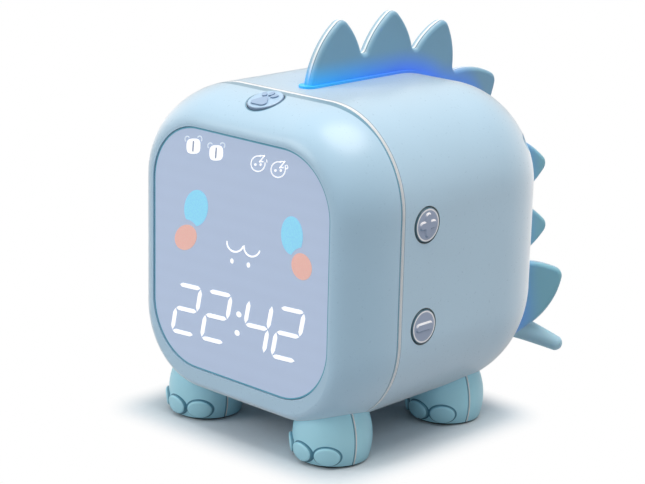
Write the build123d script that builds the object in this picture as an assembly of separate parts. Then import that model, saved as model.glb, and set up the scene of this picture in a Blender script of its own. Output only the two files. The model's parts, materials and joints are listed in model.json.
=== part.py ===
from build123d import *
import math
import os

# Child's bedside clock in the shape of a small dinosaur: a rounded square body on four
# stub feet, a lit face and clock display in front, soft spikes from the top down the back,
# a tail that swings to the right, and five push buttons.
# Millimetres, +Z up, front towards -Y. Built with the front at y = 0 and the floor at z = 0.

# Body
body_width = 90.0
body_height = 90.6
body_depth = 98.0
floor_gap = 8.4
corner_radius = 27.5
wall = 2.2
overrun = 1.0
round_steps = 6

# Front shell
seam_depth = 17.5
seam_gap = 0.4
seam_bevel = 0.6
front_wall = 4.4
front_side_inset = 9.3
front_high_inset = 9.6
front_low_inset = 5.4
front_corner_radius = 18.4
front_roundness = 1.7
lip_clearance = 0.2
lip_wall = 1.2
lip_depth = 3.2
lip_root = 4.0

# Rear shell
dome_run = 35.0
dome_lead = 4.0
dome_corner_radius = 4.5

# Shell screws, from the back into bosses of the front shell
boss_side_inset = 8.7
boss_end_inset = 17.5
boss_radius = 3.4
boss_reach = 28.0
column_radius = 4.2
screw_seat = 2.0
screw_radius = 1.25
screw_length = 10.0
screw_head_radius = 2.5
screw_head_height = 1.8
screw_clearance = 0.1
pilot_clearance = 0.05
driver_clearance = 0.4

# Window and display stack
window_side_inset = 10.3
window_end_inset = 10.1
window_recess = 0.4
window_corner_radius = 17.7
window_drop = 0.5
window_thickness = 2.0
window_clearance = 0.25
ledge_width = 2.4
diffuser_thickness = 0.5
stack_clearance = 0.3
mask_depth = 8.0
board_thickness = 1.6
display_board_side_inset = 6.0
display_board_end_inset = 16.0
post_radius = 2.4
post_side_inset = 8.4
post_spread = 24.0
notch_clearance = 0.5
led_length = 1.4
led_width = 1.0
led_height = 0.8

# Small screws that hold the boards
small_screw_radius = 0.9
small_screw_length = 5.0
small_head_radius = 1.8
small_head_height = 1.3

# Picture of the display: face, icons and four digits, drawn for a window of the picture width
picture_width = 69.4
digit_height = 14.6
digit_width = 8.4
digit_stroke = 2.0
digit_joint = 0.3
digit_slant = 12.0
digit_pitch = 12.4
colon_pitch = 16.0
colon_radius = 1.1
colon_spread = 5.6
digit_row_drop = 18.0
digit_row_shift = -0.4
face_shift = 1.9
eye_spread = 37.8
eye_rise = 11.9
eye_width = 9.6
eye_height = 10.2
cheek_spread = 46.4
cheek_rise = 2.6
cheek_radius = 4.0
mouth_width = 12.9
mouth_height = 3.0
mouth_rise = 3.6
nostril_spread = 6.5
nostril_drop = 0.5
nostril_radius = 0.9
icon_size = 5.4
icon_rise = 29.0
icon_places = (-18.2, -8.7, 7.6, 15.4)

# Push buttons and their switches
button_radius = 4.9
button_clearance = 0.25
button_rise = 0.3
button_round = 0.5
button_depth = 27.5
button_spread = 28.8
button_travel = 0.6
button_emboss = 0.4
emboss_sink = 0.2
flange_width = 1.1
flange_gap = 0.5
flange_thickness = 1.0
stem_radius = 1.6
stem_length = 1.0
plunger_radius = 1.0
plunger_sink = 0.8
plunger_clearance = 0.15
switch_size = 6.0
switch_height = 2.6
switch_clearance = 0.3
switch_board_width = 11.0
switch_board_margin = 1.2
switch_post_spread = 9.0
switch_post_radius = 2.0
symbol_size = 6.2
symbol_stroke = 1.7
paw_radius = 5.2
paw_depth = 10.1
paw_post_spread = 18.0
paw_board_width = 8.0
paw_pad_width = 5.4
paw_pad_length = 2.5
paw_lobe_radius = 1.2
paw_toe_width = 1.5
paw_toe_length = 2.3
paw_toe_ring = 2.7
paw_toe_turn = 46.0

# Soft spikes
spike_thickness = 3.8
spike_round = 1.35
spike_tip_round = 3.0
spike_sink = 18.0
crest_start = 26.3
crest_height = 18.9
neck_rise = 2.0
crest_valley_round = 1.6
crest_lip = 0.7
crest_lip_width = 5.6
crest_lip_lead = 2.0
crest_lip_length = 71.0
neck_width = 3.0
neck_length = 32.0
neck_lead = 4.0
neck_clearance = 0.15
keeper_width = 8.0
keeper_thickness = 1.2
keeper_clearance = 0.1
back_spike_base = 24.0
back_spike_height = 23.7
back_spike_inset = 0.6
back_spike_turn = 18.5
back_leaf_base = 26.2
back_leaf_height = 22.0
back_leaf_turn = 51.5
spike_peg_radius = 1.7
spike_peg_length = 8.0
spike_peg_clearance = 0.12

# Tail
tail_swing = 17.0
tail_reach = 31.0
tail_fall = 15.8
tail_start_side = 7.0
tail_start_rise = 16.6
tail_start_inset = 12.0
tail_radius = 7.0
tail_peg_radius = 3.0
tail_peg_clearance = 0.12
tail_boss_radius = 5.6
tail_boss_depth = 5.0
tail_screw_head_radius = 4.0
tail_spike_base = 23.0
tail_spike_height = 18.2
tail_spike_rise = 9.2
tail_spike_sink = 7.6
tail_spike_turn = 40.0
tail_spike_pitch = 39.0

# Feet
foot_side_inset = 19.4
foot_front_depth = 13.0
foot_rear_inset = 36.2
foot_radius = 10.3
foot_bulge = 11.2
foot_bulge_height = 5.2
foot_neck = 5.6
foot_height = 20.0
foot_wall = 1.8
foot_split = -1.0
foot_split_gap = 0.2
foot_boss_radius = 3.2
foot_boss_clearance = 0.15
foot_pad_radius = 9.5
foot_pad_thickness = 1.2
foot_pad_recess = 0.6
foot_pad_clearance = 0.15
foot_screw_seat_rise = 6.2
foot_screw_length = 9.0
toe_width = 7.4
toe_height = 5.4
toe_rise = 1.0
toe_round = 0.6
toe_level = 3.7
toe_turn = 42.0
foot_aim = -6.0

# Speaker under the main board, facing the floor
speaker_depth = 41.0
speaker_radius = 17.5
speaker_rim = 3.0
speaker_flange = 1.5
speaker_height = 9.0
speaker_neck = 10.0
speaker_wall = 1.0
gasket_thickness = 0.8
magnet_radius = 9.0
magnet_height = 5.0
cone_sink = 5.0
cone_wall = 0.5
cone_clearance = 0.3
fence_clearance = 0.3
fence_wall = 1.4
fence_height = 3.6
grille_radius = 0.9
grille_pitch = 4.6
grille_rings = 2

# Main board, battery and charging socket
main_board_rise = 21.6
main_board_side = 20.0
main_board_front = 22.6
main_board_back_inset = 11.4
main_post_side = 15.0
main_post_radius = 2.6
main_post_front = 26.5
main_post_back_inset = 19.1
chip_size = 7.0
chip_height = 1.6
chip_side = 9.0
chip_back_inset = 14.6
cradle_front = 27.0
cradle_wall = 1.6
cradle_height = 5.0
cell_width = 32.0
cell_back_inset = 12.0
cell_thickness = 9.0
cell_round = 1.5
cell_clearance = 0.2
socket_side = 12.0
socket_width = 8.9
socket_height = 3.2
socket_length = 7.4
socket_wall = 0.3
socket_tongue = 0.7
socket_overhang = 4.6
port_width = 12.4
port_height = 7.0
port_round = 2.4

# Light board under the crest
crest_board_side = 12.0
crest_board_length = 36.0
crest_board_lead = 2.0
crest_led_gap = 0.8
crest_led_size = 2.4
crest_led_height = 1.0
crest_led_count = 4
crest_post_side = 8.8
crest_post_spread = 28.0

# Outline tables, as shares of the sizes named beside them
dome_side_share = 0.4222
dome_high_share = 0.4194
dome_low_share = 0.3974
crest_pitch_share = 0.2245
crest_shares = ((0.0, 0.59, 1.0, 0.98), (0.94, 1.57, 2.0, 1.01), (1.88, 2.63, 2.82, 0.74))
front_bow_shares = (0.42, 0.66)
rear_bow_shares = (0.31, 0.62)
back_leaf_lean_share = 0.726
back_leaf_start_share = 0.5
back_spike_side_share = 0.188
back_spike_level_share = 0.764
back_spike_shares = ((0.0, 0.46, 0.937), (0.82, 0.48, 1.0))
tail_spike_lean_share = 0.68
tail_spike_place_share = -0.05
tail_shares = ((0.0, 0.0, 0.0, 1.0), (0.2, 0.42, 0.36, 0.72), (0.52, 0.76, 0.7, 0.51), (1.0, 1.0, 1.0, 0.34))

# Places that follow from the sizes above
body_side = body_width / 2
body_low = floor_gap
body_high = floor_gap + body_height
body_mid = floor_gap + body_height / 2
front_edge = seam_depth - seam_gap / 2
rear_edge = seam_depth + seam_gap / 2
dome_start = body_depth - dome_run
dome_side_inset = body_width * dome_side_share
dome_high_inset = body_height * dome_high_share
dome_low_inset = body_height * dome_low_share
window_width = body_width - 2 * window_side_inset
window_height = body_height - 2 * window_end_inset
display_board_side = body_side - display_board_side_inset
foot_side = body_side - foot_side_inset
foot_rear_depth = body_depth - foot_rear_inset
tail_start_depth = body_depth - tail_start_inset
crest_pitch = body_depth * crest_pitch_share
window_mid = body_mid - window_drop
window_back = window_thickness
stack_front = window_back + diffuser_thickness
display_board_front = stack_front + mask_depth
display_board_back = display_board_front + board_thickness
boss_side = body_side - boss_side_inset
boss_levels = (body_low + boss_end_inset, body_high - boss_end_inset)
post_side = body_side - post_side_inset
flange_top = -wall - flange_gap
flange_low = flange_top - flange_thickness
stem_low = flange_low - stem_length
switch_top = stem_low - button_travel - switch_clearance
switch_low = switch_top - switch_height
main_board_low = body_low + main_board_rise
main_board_top = main_board_low + board_thickness
main_board_back = body_depth - main_board_back_inset
chip_depth = main_board_back - chip_back_inset
cell_length = main_board_back - cell_back_inset - cradle_front - cradle_wall - cell_clearance
low_centre = (Align.CENTER, Align.CENTER, Align.MIN)


def upright(y, x=0, z=0):
    """Plane at depth y that faces the front, with its axes along X and Z."""
    return Plane(origin=(x, y, z), x_dir=(1, 0, 0), z_dir=(0, -1, 0))


def slab(shape, front, back, x=0, z=0):
    """A flat shape in X and Z, thickened from depth front to depth back."""
    return extrude(upright(front, x, z) * shape, amount=front - back)


def block(x_low, x_high, y_low, y_high, z_low, z_high):
    """Box between two corners."""
    middle = ((x_low + x_high) / 2, (y_low + y_high) / 2, (z_low + z_high) / 2)
    return Pos(*middle) * Box(x_high - x_low, y_high - y_low, z_high - z_low)


def rod(start, way, length, radius):
    """Cylinder from a start point along a direction."""
    return Plane(origin=start, z_dir=way) * Cylinder(radius, length, align=low_centre)


def outline(y, skin, side_inset=0, low_inset=0, high_inset=0, radius=corner_radius):
    """Rounded square of the body at depth y, drawn in by skin and by the insets."""
    low = body_low + skin + low_inset
    high = body_high - skin - high_inset
    side = body_side - skin - side_inset
    return upright(y, 0, (low + high) / 2) * RectangleRounded(2 * side, high - low, radius - skin)


def front_form(skin, nose):
    """Bezel solid: superellipse edge from the full section at the seam to depth nose."""
    rings = []
    for step in range(round_steps + 1):
        turn = math.pi / 2 * step / round_steps
        run = math.sin(turn) ** (2 / front_roundness)
        drop = 1 - abs(math.cos(turn)) ** (2 / front_roundness)
        radius = corner_radius - (corner_radius - front_corner_radius) * drop
        insets = [drop * inset for inset in (front_side_inset, front_low_inset, front_high_inset)]
        rings.append(outline(front_edge - (front_edge - nose) * run, skin, *insets, radius))
    return loft(rings)


def front_top(depth):
    """Height of the bezel's upper edge at a depth, and its slope there."""
    run = (front_edge - depth) / front_edge
    keep = 1 - run**front_roundness
    drop = 1 - keep ** (1 / front_roundness)
    slope = run ** (front_roundness - 1) * keep ** (1 / front_roundness - 1)
    return body_high - front_high_inset * drop, front_high_inset / front_edge * slope


def rear_form(skin):
    """Rear solid: a straight run behind the seam, then an elliptic dome to the back."""
    start = dome_start - dome_lead
    straight = extrude(outline(rear_edge, skin), amount=rear_edge - start)
    rings = [outline(start, skin)]
    for step in range(round_steps + 1):
        turn = math.pi / 2 * step / round_steps
        drop = 1 - math.cos(turn)
        radius = corner_radius - (corner_radius - dome_corner_radius) * drop
        insets = [drop * inset for inset in (dome_side_inset, dome_low_inset, dome_high_inset)]
        rings.append(outline(dome_start + (dome_run - skin) * math.sin(turn), skin, *insets, radius))
    return straight + loft(rings)


def dome_point(side, level):
    """Point of the dome's centre strip at a height, with the elevation of its normal."""
    above = level - body_mid
    inset = dome_high_inset if above > 0 else dome_low_inset
    drop = max(0, body_height / 2 - abs(above)) / inset
    turn = math.acos(max(0, 1 - drop))
    rise = math.atan2(dome_run * math.cos(turn), inset * math.sin(turn))
    rise = math.copysign(rise, above)
    return Vector(side, dome_start + dome_run * math.sin(turn), level), math.degrees(rise)


def window_face(grow):
    """Outline of the window, grown by an amount."""
    radius = window_corner_radius + grow
    return RectangleRounded(window_width + 2 * grow, window_height + 2 * grow, radius)


def lip_ring(outer, inner, front, back):
    """Ring that follows the body section between two skins."""
    ring = extrude(outline(front, outer), amount=front - back)
    return ring - extrude(outline(front, inner), amount=front - back)


def screw(start, way, length, radius, head_radius, head_height):
    """Pan head screw: head before the start point, shank after it."""
    way = Vector(way)
    head = rod(Vector(start) - way * head_height, way, head_height, head_radius)
    return rod(start, way, length, radius) + head


def group(solids):
    """Separate solids in one node."""
    return Compound(list(solids))


# Places of repeated pieces
boss_points = [(side * boss_side, level) for side in (-1, 1) for level in boss_levels]
post_points = [(s * post_side, body_mid + t * post_spread / 2) for s in (-1, 1) for t in (-1, 1)]
switch_levels = [body_mid + t * button_spread / 2 for t in (1, -1)]
switch_posts = [body_mid + t * switch_post_spread / 2 for t in (1, -1)]
foot_points = {
    "front_left": (-foot_side, foot_front_depth),
    "front_right": (foot_side, foot_front_depth),
    "rear_left": (-foot_side, foot_rear_depth),
    "rear_right": (foot_side, foot_rear_depth),
}
main_post_depths = (main_post_front, main_board_back - main_post_back_inset)
main_posts = [(side * main_post_side, depth) for side in (-1, 1) for depth in main_post_depths]
crest_middle = crest_start + crest_board_lead + crest_board_length / 2
crest_posts = [
    (s * crest_post_side, crest_middle + t * crest_post_spread / 2) for s in (-1, 1) for t in (-1, 1)
]
keeper_top = body_high - wall - keeper_clearance
keeper_low = keeper_top - keeper_thickness
crest_board_top = keeper_low - crest_led_gap - crest_led_height
crest_board_low = crest_board_top - board_thickness
foot_seat = body_low + foot_screw_seat_rise

# Paw button's place on the bezel's upper edge
paw_height, paw_slope = front_top(paw_depth)
paw_tilt = math.atan(paw_slope)
paw_out = Vector(0, -math.sin(paw_tilt), math.cos(paw_tilt))
paw_place = Plane(origin=(0, paw_depth, paw_height), x_dir=(1, 0, 0), z_dir=paw_out)


def side_place(side, level):
    """Frame of a side button: origin on the body's side, Z outwards."""
    return Plane(origin=(side * body_side, button_depth, level), x_dir=(0, side, 0), z_dir=(side, 0, 0))


def plus_symbol():
    """Two crossed bars."""
    bar = SlotOverall(symbol_size, symbol_stroke)
    return bar + Rot(0, 0, 90) * bar


def minus_symbol():
    """One bar."""
    return SlotOverall(symbol_size, symbol_stroke)


def clock_symbol():
    """Ring with two hands."""
    outer = symbol_size / 2
    hand = outer - symbol_stroke / 2
    ring = Circle(outer) - Circle(outer - symbol_stroke / 2)
    upright_hand = Pos(0, hand / 2) * Rectangle(symbol_stroke / 2, hand)
    return ring + upright_hand + Pos(hand / 2, 0) * Rectangle(hand, symbol_stroke / 2)


def bell_symbol():
    """Bell: a half round over a bar, with its clapper."""
    half = symbol_size / 2
    cup = Circle(half - symbol_stroke / 2) + Pos(0, -half / 2) * Rectangle(symbol_size - symbol_stroke, half)
    cup = cup - Pos(0, -half - symbol_stroke / 2) * Rectangle(2 * symbol_size, 2 * symbol_stroke)
    rim = Pos(0, -half + symbol_stroke) * Rectangle(symbol_size, symbol_stroke / 2)
    return cup + rim + Pos(0, -half + symbol_stroke / 2) * Circle(symbol_stroke / 2)


def paw_symbol():
    """Three-lobed pad with three oval toes behind it."""
    side = paw_pad_width / 2 - paw_lobe_radius
    spots = ((-side, -paw_pad_length), (side, -paw_pad_length), (0, -paw_lobe_radius / 3))
    lobes = [Pos(*spot) * Circle(paw_lobe_radius) for spot in spots]
    paw = make_hull([edge for lobe in lobes for edge in lobe.edges()])
    for turn in (-paw_toe_turn, 0, paw_toe_turn):
        paw += Rot(0, 0, turn) * Pos(0, paw_toe_ring) * Ellipse(paw_toe_width / 2, paw_toe_length / 2)
    return paw


def button(radius, symbol):
    """Cap with a retaining flange, a stem and a raised sign; z = 0 on the body's surface."""
    cap = Pos(0, 0, flange_low) * Cylinder(radius, button_rise - flange_low, align=low_centre)
    rim = cap.edges().filter_by(GeomType.CIRCLE).sort_by(Axis.Z)[-1]
    cap = fillet(rim, button_round)
    cap += Pos(0, 0, flange_low) * Cylinder(radius + flange_width, flange_thickness, align=low_centre)
    cap += Pos(0, 0, stem_low) * Cylinder(stem_radius, stem_length, align=low_centre)
    return cap + extrude(Pos(0, 0, button_rise - emboss_sink) * symbol, amount=emboss_sink + button_emboss)


def button_hole(radius):
    """Hole of a button through the wall."""
    length = wall + flange_gap + 2 * overrun
    return Pos(0, 0, -wall - flange_gap) * Cylinder(radius + button_clearance, length, align=low_centre)


def plunger():
    """Plunger of a push switch, under the button's stem."""
    low = switch_top - plunger_sink
    return Pos(0, 0, low) * Cylinder(plunger_radius, stem_low - low, align=low_centre)


def switch():
    """Push switch with the well of its plunger."""
    depth = plunger_sink + button_travel + plunger_clearance
    body = Pos(0, 0, switch_low) * Box(switch_size, switch_size, switch_height, align=low_centre)
    well = Cylinder(plunger_radius + plunger_clearance, depth + overrun, align=low_centre)
    return body - Pos(0, 0, switch_top - depth) * well


def foot_turn(grow, low, high):
    """Solid of the foot's bulged profile, grown by an amount, between two heights."""
    middle = (foot_bulge + grow, low + foot_bulge_height)
    swell = ThreePointArc((foot_radius + grow, low), middle, (foot_neck + grow, high))
    edge = swell + Polyline((foot_neck + grow, high), (0, high), (0, low), (foot_radius + grow, low))
    return revolve(Plane.XZ * make_face(edge), axis=Axis.Z)


def toe_pads():
    """Three raised ovals round the front of the foot."""
    start = foot_radius - foot_wall / 2
    pads = []
    for turn in (-toe_turn, 0, toe_turn):
        way = Vector(math.sin(math.radians(turn)), -math.cos(math.radians(turn)), 0)
        side = Vector(-way.Y, way.X, 0)
        place = Plane(origin=way * start + Vector(0, 0, toe_level), x_dir=side, z_dir=way)
        oval = extrude(place * Ellipse(toe_width / 2, toe_height / 2), amount=foot_bulge)
        pad = oval & foot_turn(toe_rise, foot_pad_recess, foot_height)
        crown = pad.edges().sort_by(Axis(place.origin, way))[-1]
        pads.append(fillet(crown, toe_round))
    return pads


def spike_face(base, height, lean, depth):
    """Leaf-shaped spike on a base line, its tip over the lean share of the base, with a root below."""
    tip = (lean * base, height)
    front_bow = (front_bow_shares[0] * tip[0], front_bow_shares[1] * height)
    rear_bow = (base - rear_bow_shares[0] * (base - tip[0]), rear_bow_shares[1] * height)
    front = ThreePointArc((0, 0), front_bow, tip)
    rear = ThreePointArc(tip, rear_bow, (base, 0))
    front_way, rear_way = front.tangent_at(0), rear.tangent_at(1)
    front_root = (-depth * front_way.X / front_way.Y, -depth)
    rear_root = (base - depth * rear_way.X / rear_way.Y, -depth)
    face = make_face(Line(front_root, (0, 0)) + front + rear + Polyline((base, 0), rear_root, front_root))
    peak = face.vertices().sort_by(Axis.Y)[-1]
    return fillet(peak, spike_tip_round)


def flat_fin(face):
    """Spike outline in X and Y, thickened about its plane along Z, with rounded edges."""
    solid = extrude(face, amount=spike_thickness / 2, both=True)
    edges = solid.faces().sort_by(Axis.Z)[0].edges() + solid.faces().sort_by(Axis.Z)[-1].edges()
    return fillet(edges, spike_round)


def segment_cells(stroke, joint):
    """Seven slanted bars of one digit, centred on the origin."""
    half = digit_height / 2 - stroke / 2
    side = digit_width / 2 - stroke / 2
    bars = [(0, level, digit_width - stroke, 0) for level in (half, 0, -half)]
    bars += [(s * side, t * half / 2, half, 90) for s in (-1, 1) for t in (-1, 1)]
    cells = []
    for x, z, length, turn in bars:
        run = length / 2 - joint
        tip = [(-run, 0), (-run + stroke / 2, stroke / 2), (run - stroke / 2, stroke / 2)]
        tip += [(run, 0), (run - stroke / 2, -stroke / 2), (-run + stroke / 2, -stroke / 2)]
        place = Pos(x + z * math.tan(math.radians(digit_slant)), z)
        lean = Rot(0, 0, turn - (digit_slant if turn else 0))
        cells.append(place * lean * make_face(Polyline(*tip, close=True)))
    return cells


def display_cells():
    """Light cells of the display, in the window's plane, about its centre."""
    cells = []
    for turn in (-1, 1):
        for pitch in (colon_pitch / 2, colon_pitch / 2 + digit_pitch):
            spot = Pos(digit_row_shift + turn * pitch, -digit_row_drop)
            cells += [spot * bar for bar in segment_cells(digit_stroke, digit_joint)]
        cells.append(Pos(digit_row_shift, -digit_row_drop + turn * colon_spread / 2) * Circle(colon_radius))
        eye = Ellipse(eye_width / 2, eye_height / 2)
        cells.append(Pos(face_shift + turn * eye_spread / 2, eye_rise) * eye)
        cells.append(Pos(face_shift + turn * cheek_spread / 2, cheek_rise) * Circle(cheek_radius))
        nostril = Pos(face_shift + turn * nostril_spread / 2, -nostril_drop)
        cells.append(nostril * Circle(nostril_radius))
    cells += [Pos(place, icon_rise) * Circle(icon_size / 2) for place in icon_places]
    cells.append(Pos(face_shift, mouth_rise) * Rectangle(mouth_width, mouth_height))
    return [scale(cell, by=window_width / picture_width) for cell in cells]


parts = {}

# Front shell
front_solid = front_form(0, 0)
rear_solid = rear_form(0)
front_shell = front_solid - front_form(wall, front_wall)
front_shell -= slab(window_face(window_clearance), -overrun, window_back, 0, window_mid)
front_shell -= slab(window_face(-ledge_width), window_back, front_wall + overrun, 0, window_mid)
lip_out = wall + lip_clearance
lip_in = lip_out + lip_wall
front_shell += lip_ring(lip_out, lip_in, front_edge - lip_root, rear_edge + lip_depth)
front_shell += lip_ring(wall / 2, lip_in, front_edge - lip_root, front_edge - lip_clearance)
room = front_form(wall / 2, front_wall / 2)
inner_bosses = [rod((x, 0, z), (0, 1, 0), front_edge, boss_radius) for x, z in boss_points]
inner_bosses += [rod((x, 0, z), (0, 1, 0), display_board_front, post_radius) for x, z in post_points]
for name in ("front_left", "front_right"):
    x, y = foot_points[name]
    inner_bosses.append(rod((x, y, 0), (0, 0, 1), foot_seat, foot_boss_radius))
for boss in inner_bosses:
    front_shell += boss & room
front_shell -= slab(window_face(-ledge_width), window_back, display_board_front, 0, window_mid)
for x, z in boss_points:
    boss_start = front_edge - lip_root
    front_shell += rod((x, boss_start, z), (0, 1, 0), boss_reach - boss_start, boss_radius)
paw_posts = [paw_place * Pos(t * paw_post_spread / 2, 0, 0) for t in (-1, 1)]
for place in paw_posts:
    post = Pos(0, 0, switch_low) * Cylinder(switch_post_radius, -switch_low - wall / 2, align=low_centre)
    front_shell += place * post
    pilot = Cylinder(small_screw_radius + pilot_clearance, small_screw_length, align=low_centre)
    front_shell -= place * Pos(0, 0, switch_low) * pilot
front_shell -= paw_place * button_hole(paw_radius)
flange_room = paw_radius + flange_width + button_clearance
front_shell -= paw_place * Pos(0, 0, switch_low) * Cylinder(flange_room, -wall - switch_low, align=low_centre)
for x, z in boss_points:
    pilot_start = (x, boss_reach, z)
    front_shell -= rod(pilot_start, (0, -1, 0), screw_length, screw_radius + pilot_clearance)
for x, z in post_points:
    pilot_start = (x, display_board_front, z)
    front_shell -= rod(pilot_start, (0, -1, 0), small_screw_length, small_screw_radius + pilot_clearance)
for name in ("front_left", "front_right"):
    x, y = foot_points[name]
    front_shell -= rod((x, y, 0), (0, 0, 1), foot_seat + overrun, screw_radius + screw_clearance)
parts["front_shell"] = front_shell

# Rear shell
rear_shell = rear_solid - rear_form(wall)
bevel_start = extrude(outline(rear_edge, 0), amount=-seam_bevel)
bevel = loft([outline(rear_edge, seam_bevel), outline(rear_edge + seam_bevel, 0)], ruled=True)
rear_shell -= bevel_start - bevel
rear_room = rear_form(wall / 2)
extras = []
for x, z in boss_points:
    extras.append(rod((x, boss_reach, z), (0, 1, 0), body_depth, column_radius))
for x, y in main_posts:
    extras.append(rod((x, y, body_low), (0, 0, 1), main_board_low - body_low, main_post_radius))
for x, y in crest_posts:
    extras.append(rod((x, y, crest_board_top), (0, 0, 1), body_high - crest_board_top, switch_post_radius))
for name in ("rear_left", "rear_right"):
    x, y = foot_points[name]
    extras.append(rod((x, y, 0), (0, 0, 1), foot_seat, foot_boss_radius))
for side in (-1, 1):
    for z in switch_posts:
        start = (side * body_side, button_depth, z)
        extras.append(rod(start, (-side, 0, 0), -switch_low, switch_post_radius))
fence = Circle(speaker_radius + fence_clearance + fence_wall) - Circle(speaker_radius + fence_clearance)
extras.append(extrude(Plane(origin=(0, speaker_depth, body_low)) * fence, amount=wall + fence_height))
tail_points = []
for swing, reach, fall, thick in tail_shares:
    point = Vector(
        tail_start_side + tail_swing * swing,
        tail_start_depth + tail_reach * reach,
        body_low + tail_start_rise - tail_fall * fall,
    )
    tail_points.append((point, tail_radius * thick))
tail_in = (tail_points[0][0] - tail_points[1][0]).normalized()
tail_span = (tail_points[0][0] - tail_points[1][0]).length
tail_seat = tail_points[1][0] + tail_in * tail_span
extras.append(rod(tail_seat - tail_in * tail_boss_depth, tail_in, tail_boss_depth, tail_boss_radius))
for extra in extras:
    rear_shell += extra & rear_room
for x, z in boss_points:
    seat = boss_reach + screw_seat
    bore = screw_head_radius + driver_clearance
    rear_shell -= rod((x, seat, z), (0, 1, 0), body_depth, bore)
    rear_shell -= rod((x, boss_reach - overrun, z), (0, 1, 0), seat, screw_radius + screw_clearance)
small_pilot = small_screw_radius + pilot_clearance
for x, y in main_posts:
    rear_shell -= rod((x, y, main_board_low), (0, 0, -1), small_screw_length, small_pilot)
for x, y in crest_posts:
    rear_shell -= rod((x, y, crest_board_top), (0, 0, 1), small_screw_length - board_thickness, small_pilot)
for name in ("rear_left", "rear_right"):
    x, y = foot_points[name]
    rear_shell -= rod((x, y, 0), (0, 0, 1), foot_seat + overrun, screw_radius + screw_clearance)
for side in (-1, 1):
    for z in switch_levels:
        rear_shell -= side_place(side, z) * button_hole(button_radius)
    for z in switch_posts:
        start = (side * (body_side + switch_low), button_depth, z)
        rear_shell -= rod(start, (side, 0, 0), small_screw_length - board_thickness, small_pilot)
grille_spots = [(0, 0)]
for ring in range(1, grille_rings + 1):
    for step in range(6 * ring):
        turn = math.tau * step / (6 * ring)
        grille_spots.append((ring * grille_pitch * math.cos(turn), ring * grille_pitch * math.sin(turn)))
for x, y in grille_spots:
    start = (x, speaker_depth + y, body_low - overrun)
    rear_shell -= rod(start, (0, 0, 1), wall + 2 * overrun, grille_radius)
port_level = main_board_top + socket_height / 2
port = RectangleRounded(port_width, port_height, port_round)
rear_shell -= slab(port, main_board_back, body_depth + overrun, -socket_side, port_level)
rear_shell -= rod(tail_seat + tail_in * overrun, -tail_in, tail_span, tail_peg_radius + tail_peg_clearance)
neck_start = crest_start + neck_lead
neck_end = neck_start + neck_length
neck_half = neck_width / 2 + neck_clearance
rear_shell -= block(
    -neck_half, neck_half, neck_start - neck_clearance, neck_end + neck_clearance,
    keeper_low, body_high + overrun,
)

# Back spikes: two joined leaves in an upright plane that turns towards the tail, with a peg each
turn = math.radians(back_spike_turn)
out = Vector(math.sin(turn), math.cos(turn), 0)
down = Vector(0, 0, -1)
level = body_low + body_height * back_spike_level_share
fin_top = Vector(body_side * back_spike_side_share, body_depth - back_spike_inset, level)
fin_face = None
for start, lean, height in back_spike_shares:
    leaf = spike_face(back_spike_base, back_spike_height * height, lean, spike_sink)
    leaf = Pos(start * back_spike_base, 0) * leaf
    fin_face = leaf if fin_face is None else fin_face + leaf
valley_run = (back_spike_shares[1][0] + 1) / 2 * back_spike_base
valley = fin_face.vertices().sort_by_distance((valley_run, 0))[0]
fin_face = fillet(valley, crest_valley_round)
back_spikes = Plane(origin=fin_top, x_dir=down, z_dir=down.cross(out)) * flat_fin(fin_face) - rear_solid
for start, lean, height in back_spike_shares:
    foot = fin_top + down * ((start + lean) * back_spike_base)
    peg_start = foot + out * (spike_peg_length / 2)
    back_spikes += rod(peg_start, -out, spike_peg_length, spike_peg_radius)
    rear_shell -= rod(peg_start, -out, spike_peg_length + overrun, spike_peg_radius + spike_peg_clearance)
parts["back_spikes"] = back_spikes
parts["rear_shell"] = rear_shell

# Crest: four joined spikes, a lip on the body, a neck through the slot and a keeper inside
crest_face = None
for start, tip, end, height in crest_shares:
    base = (end - start) * crest_pitch
    lean = (tip - start) / (end - start)
    leaf = spike_face(base, crest_height * height, lean, spike_sink)
    leaf = Pos(start * crest_pitch, 0) * leaf
    crest_face = leaf if crest_face is None else crest_face + leaf
back_turn = math.asin(back_leaf_start_share)
back_spot = (
    dome_start + dome_run * math.sin(back_turn) - crest_start,
    -dome_high_inset * (1 - math.cos(back_turn)),
)
back_leaf = spike_face(back_leaf_base, back_leaf_height, back_leaf_lean_share, spike_sink)
crest_face += Pos(*back_spot) * Rot(0, 0, -back_leaf_turn) * back_leaf
meets = [((low[2] + high[0]) / 2 * crest_pitch, 0) for low, high in zip(crest_shares, crest_shares[1:])]
meets.append((crest_pitch * crest_shares[-1][2], back_spot[1]))
valleys = [crest_face.vertices().sort_by_distance(meet)[0] for meet in meets]
crest_face = fillet(valleys, crest_valley_round)
crest_place = Plane(origin=(0, crest_start, body_high), x_dir=(0, 1, 0), z_dir=(1, 0, 0))
crest = crest_place * flat_fin(crest_face)
lip_middle = crest_start - crest_lip_lead + crest_lip_length / 2
lip_plan = Pos(0, lip_middle, body_mid) * Rot(0, 0, 90) * SlotOverall(crest_lip_length, crest_lip_width)
crest += rear_form(-crest_lip) & extrude(lip_plan, amount=body_high + crest_lip - body_mid)
crest -= rear_solid
crest += block(-neck_width / 2, neck_width / 2, neck_start, neck_end, keeper_low, body_high + neck_rise)
crest += block(-keeper_width / 2, keeper_width / 2, neck_start, neck_end, keeper_low, keeper_top)
parts["crest"] = crest

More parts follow.
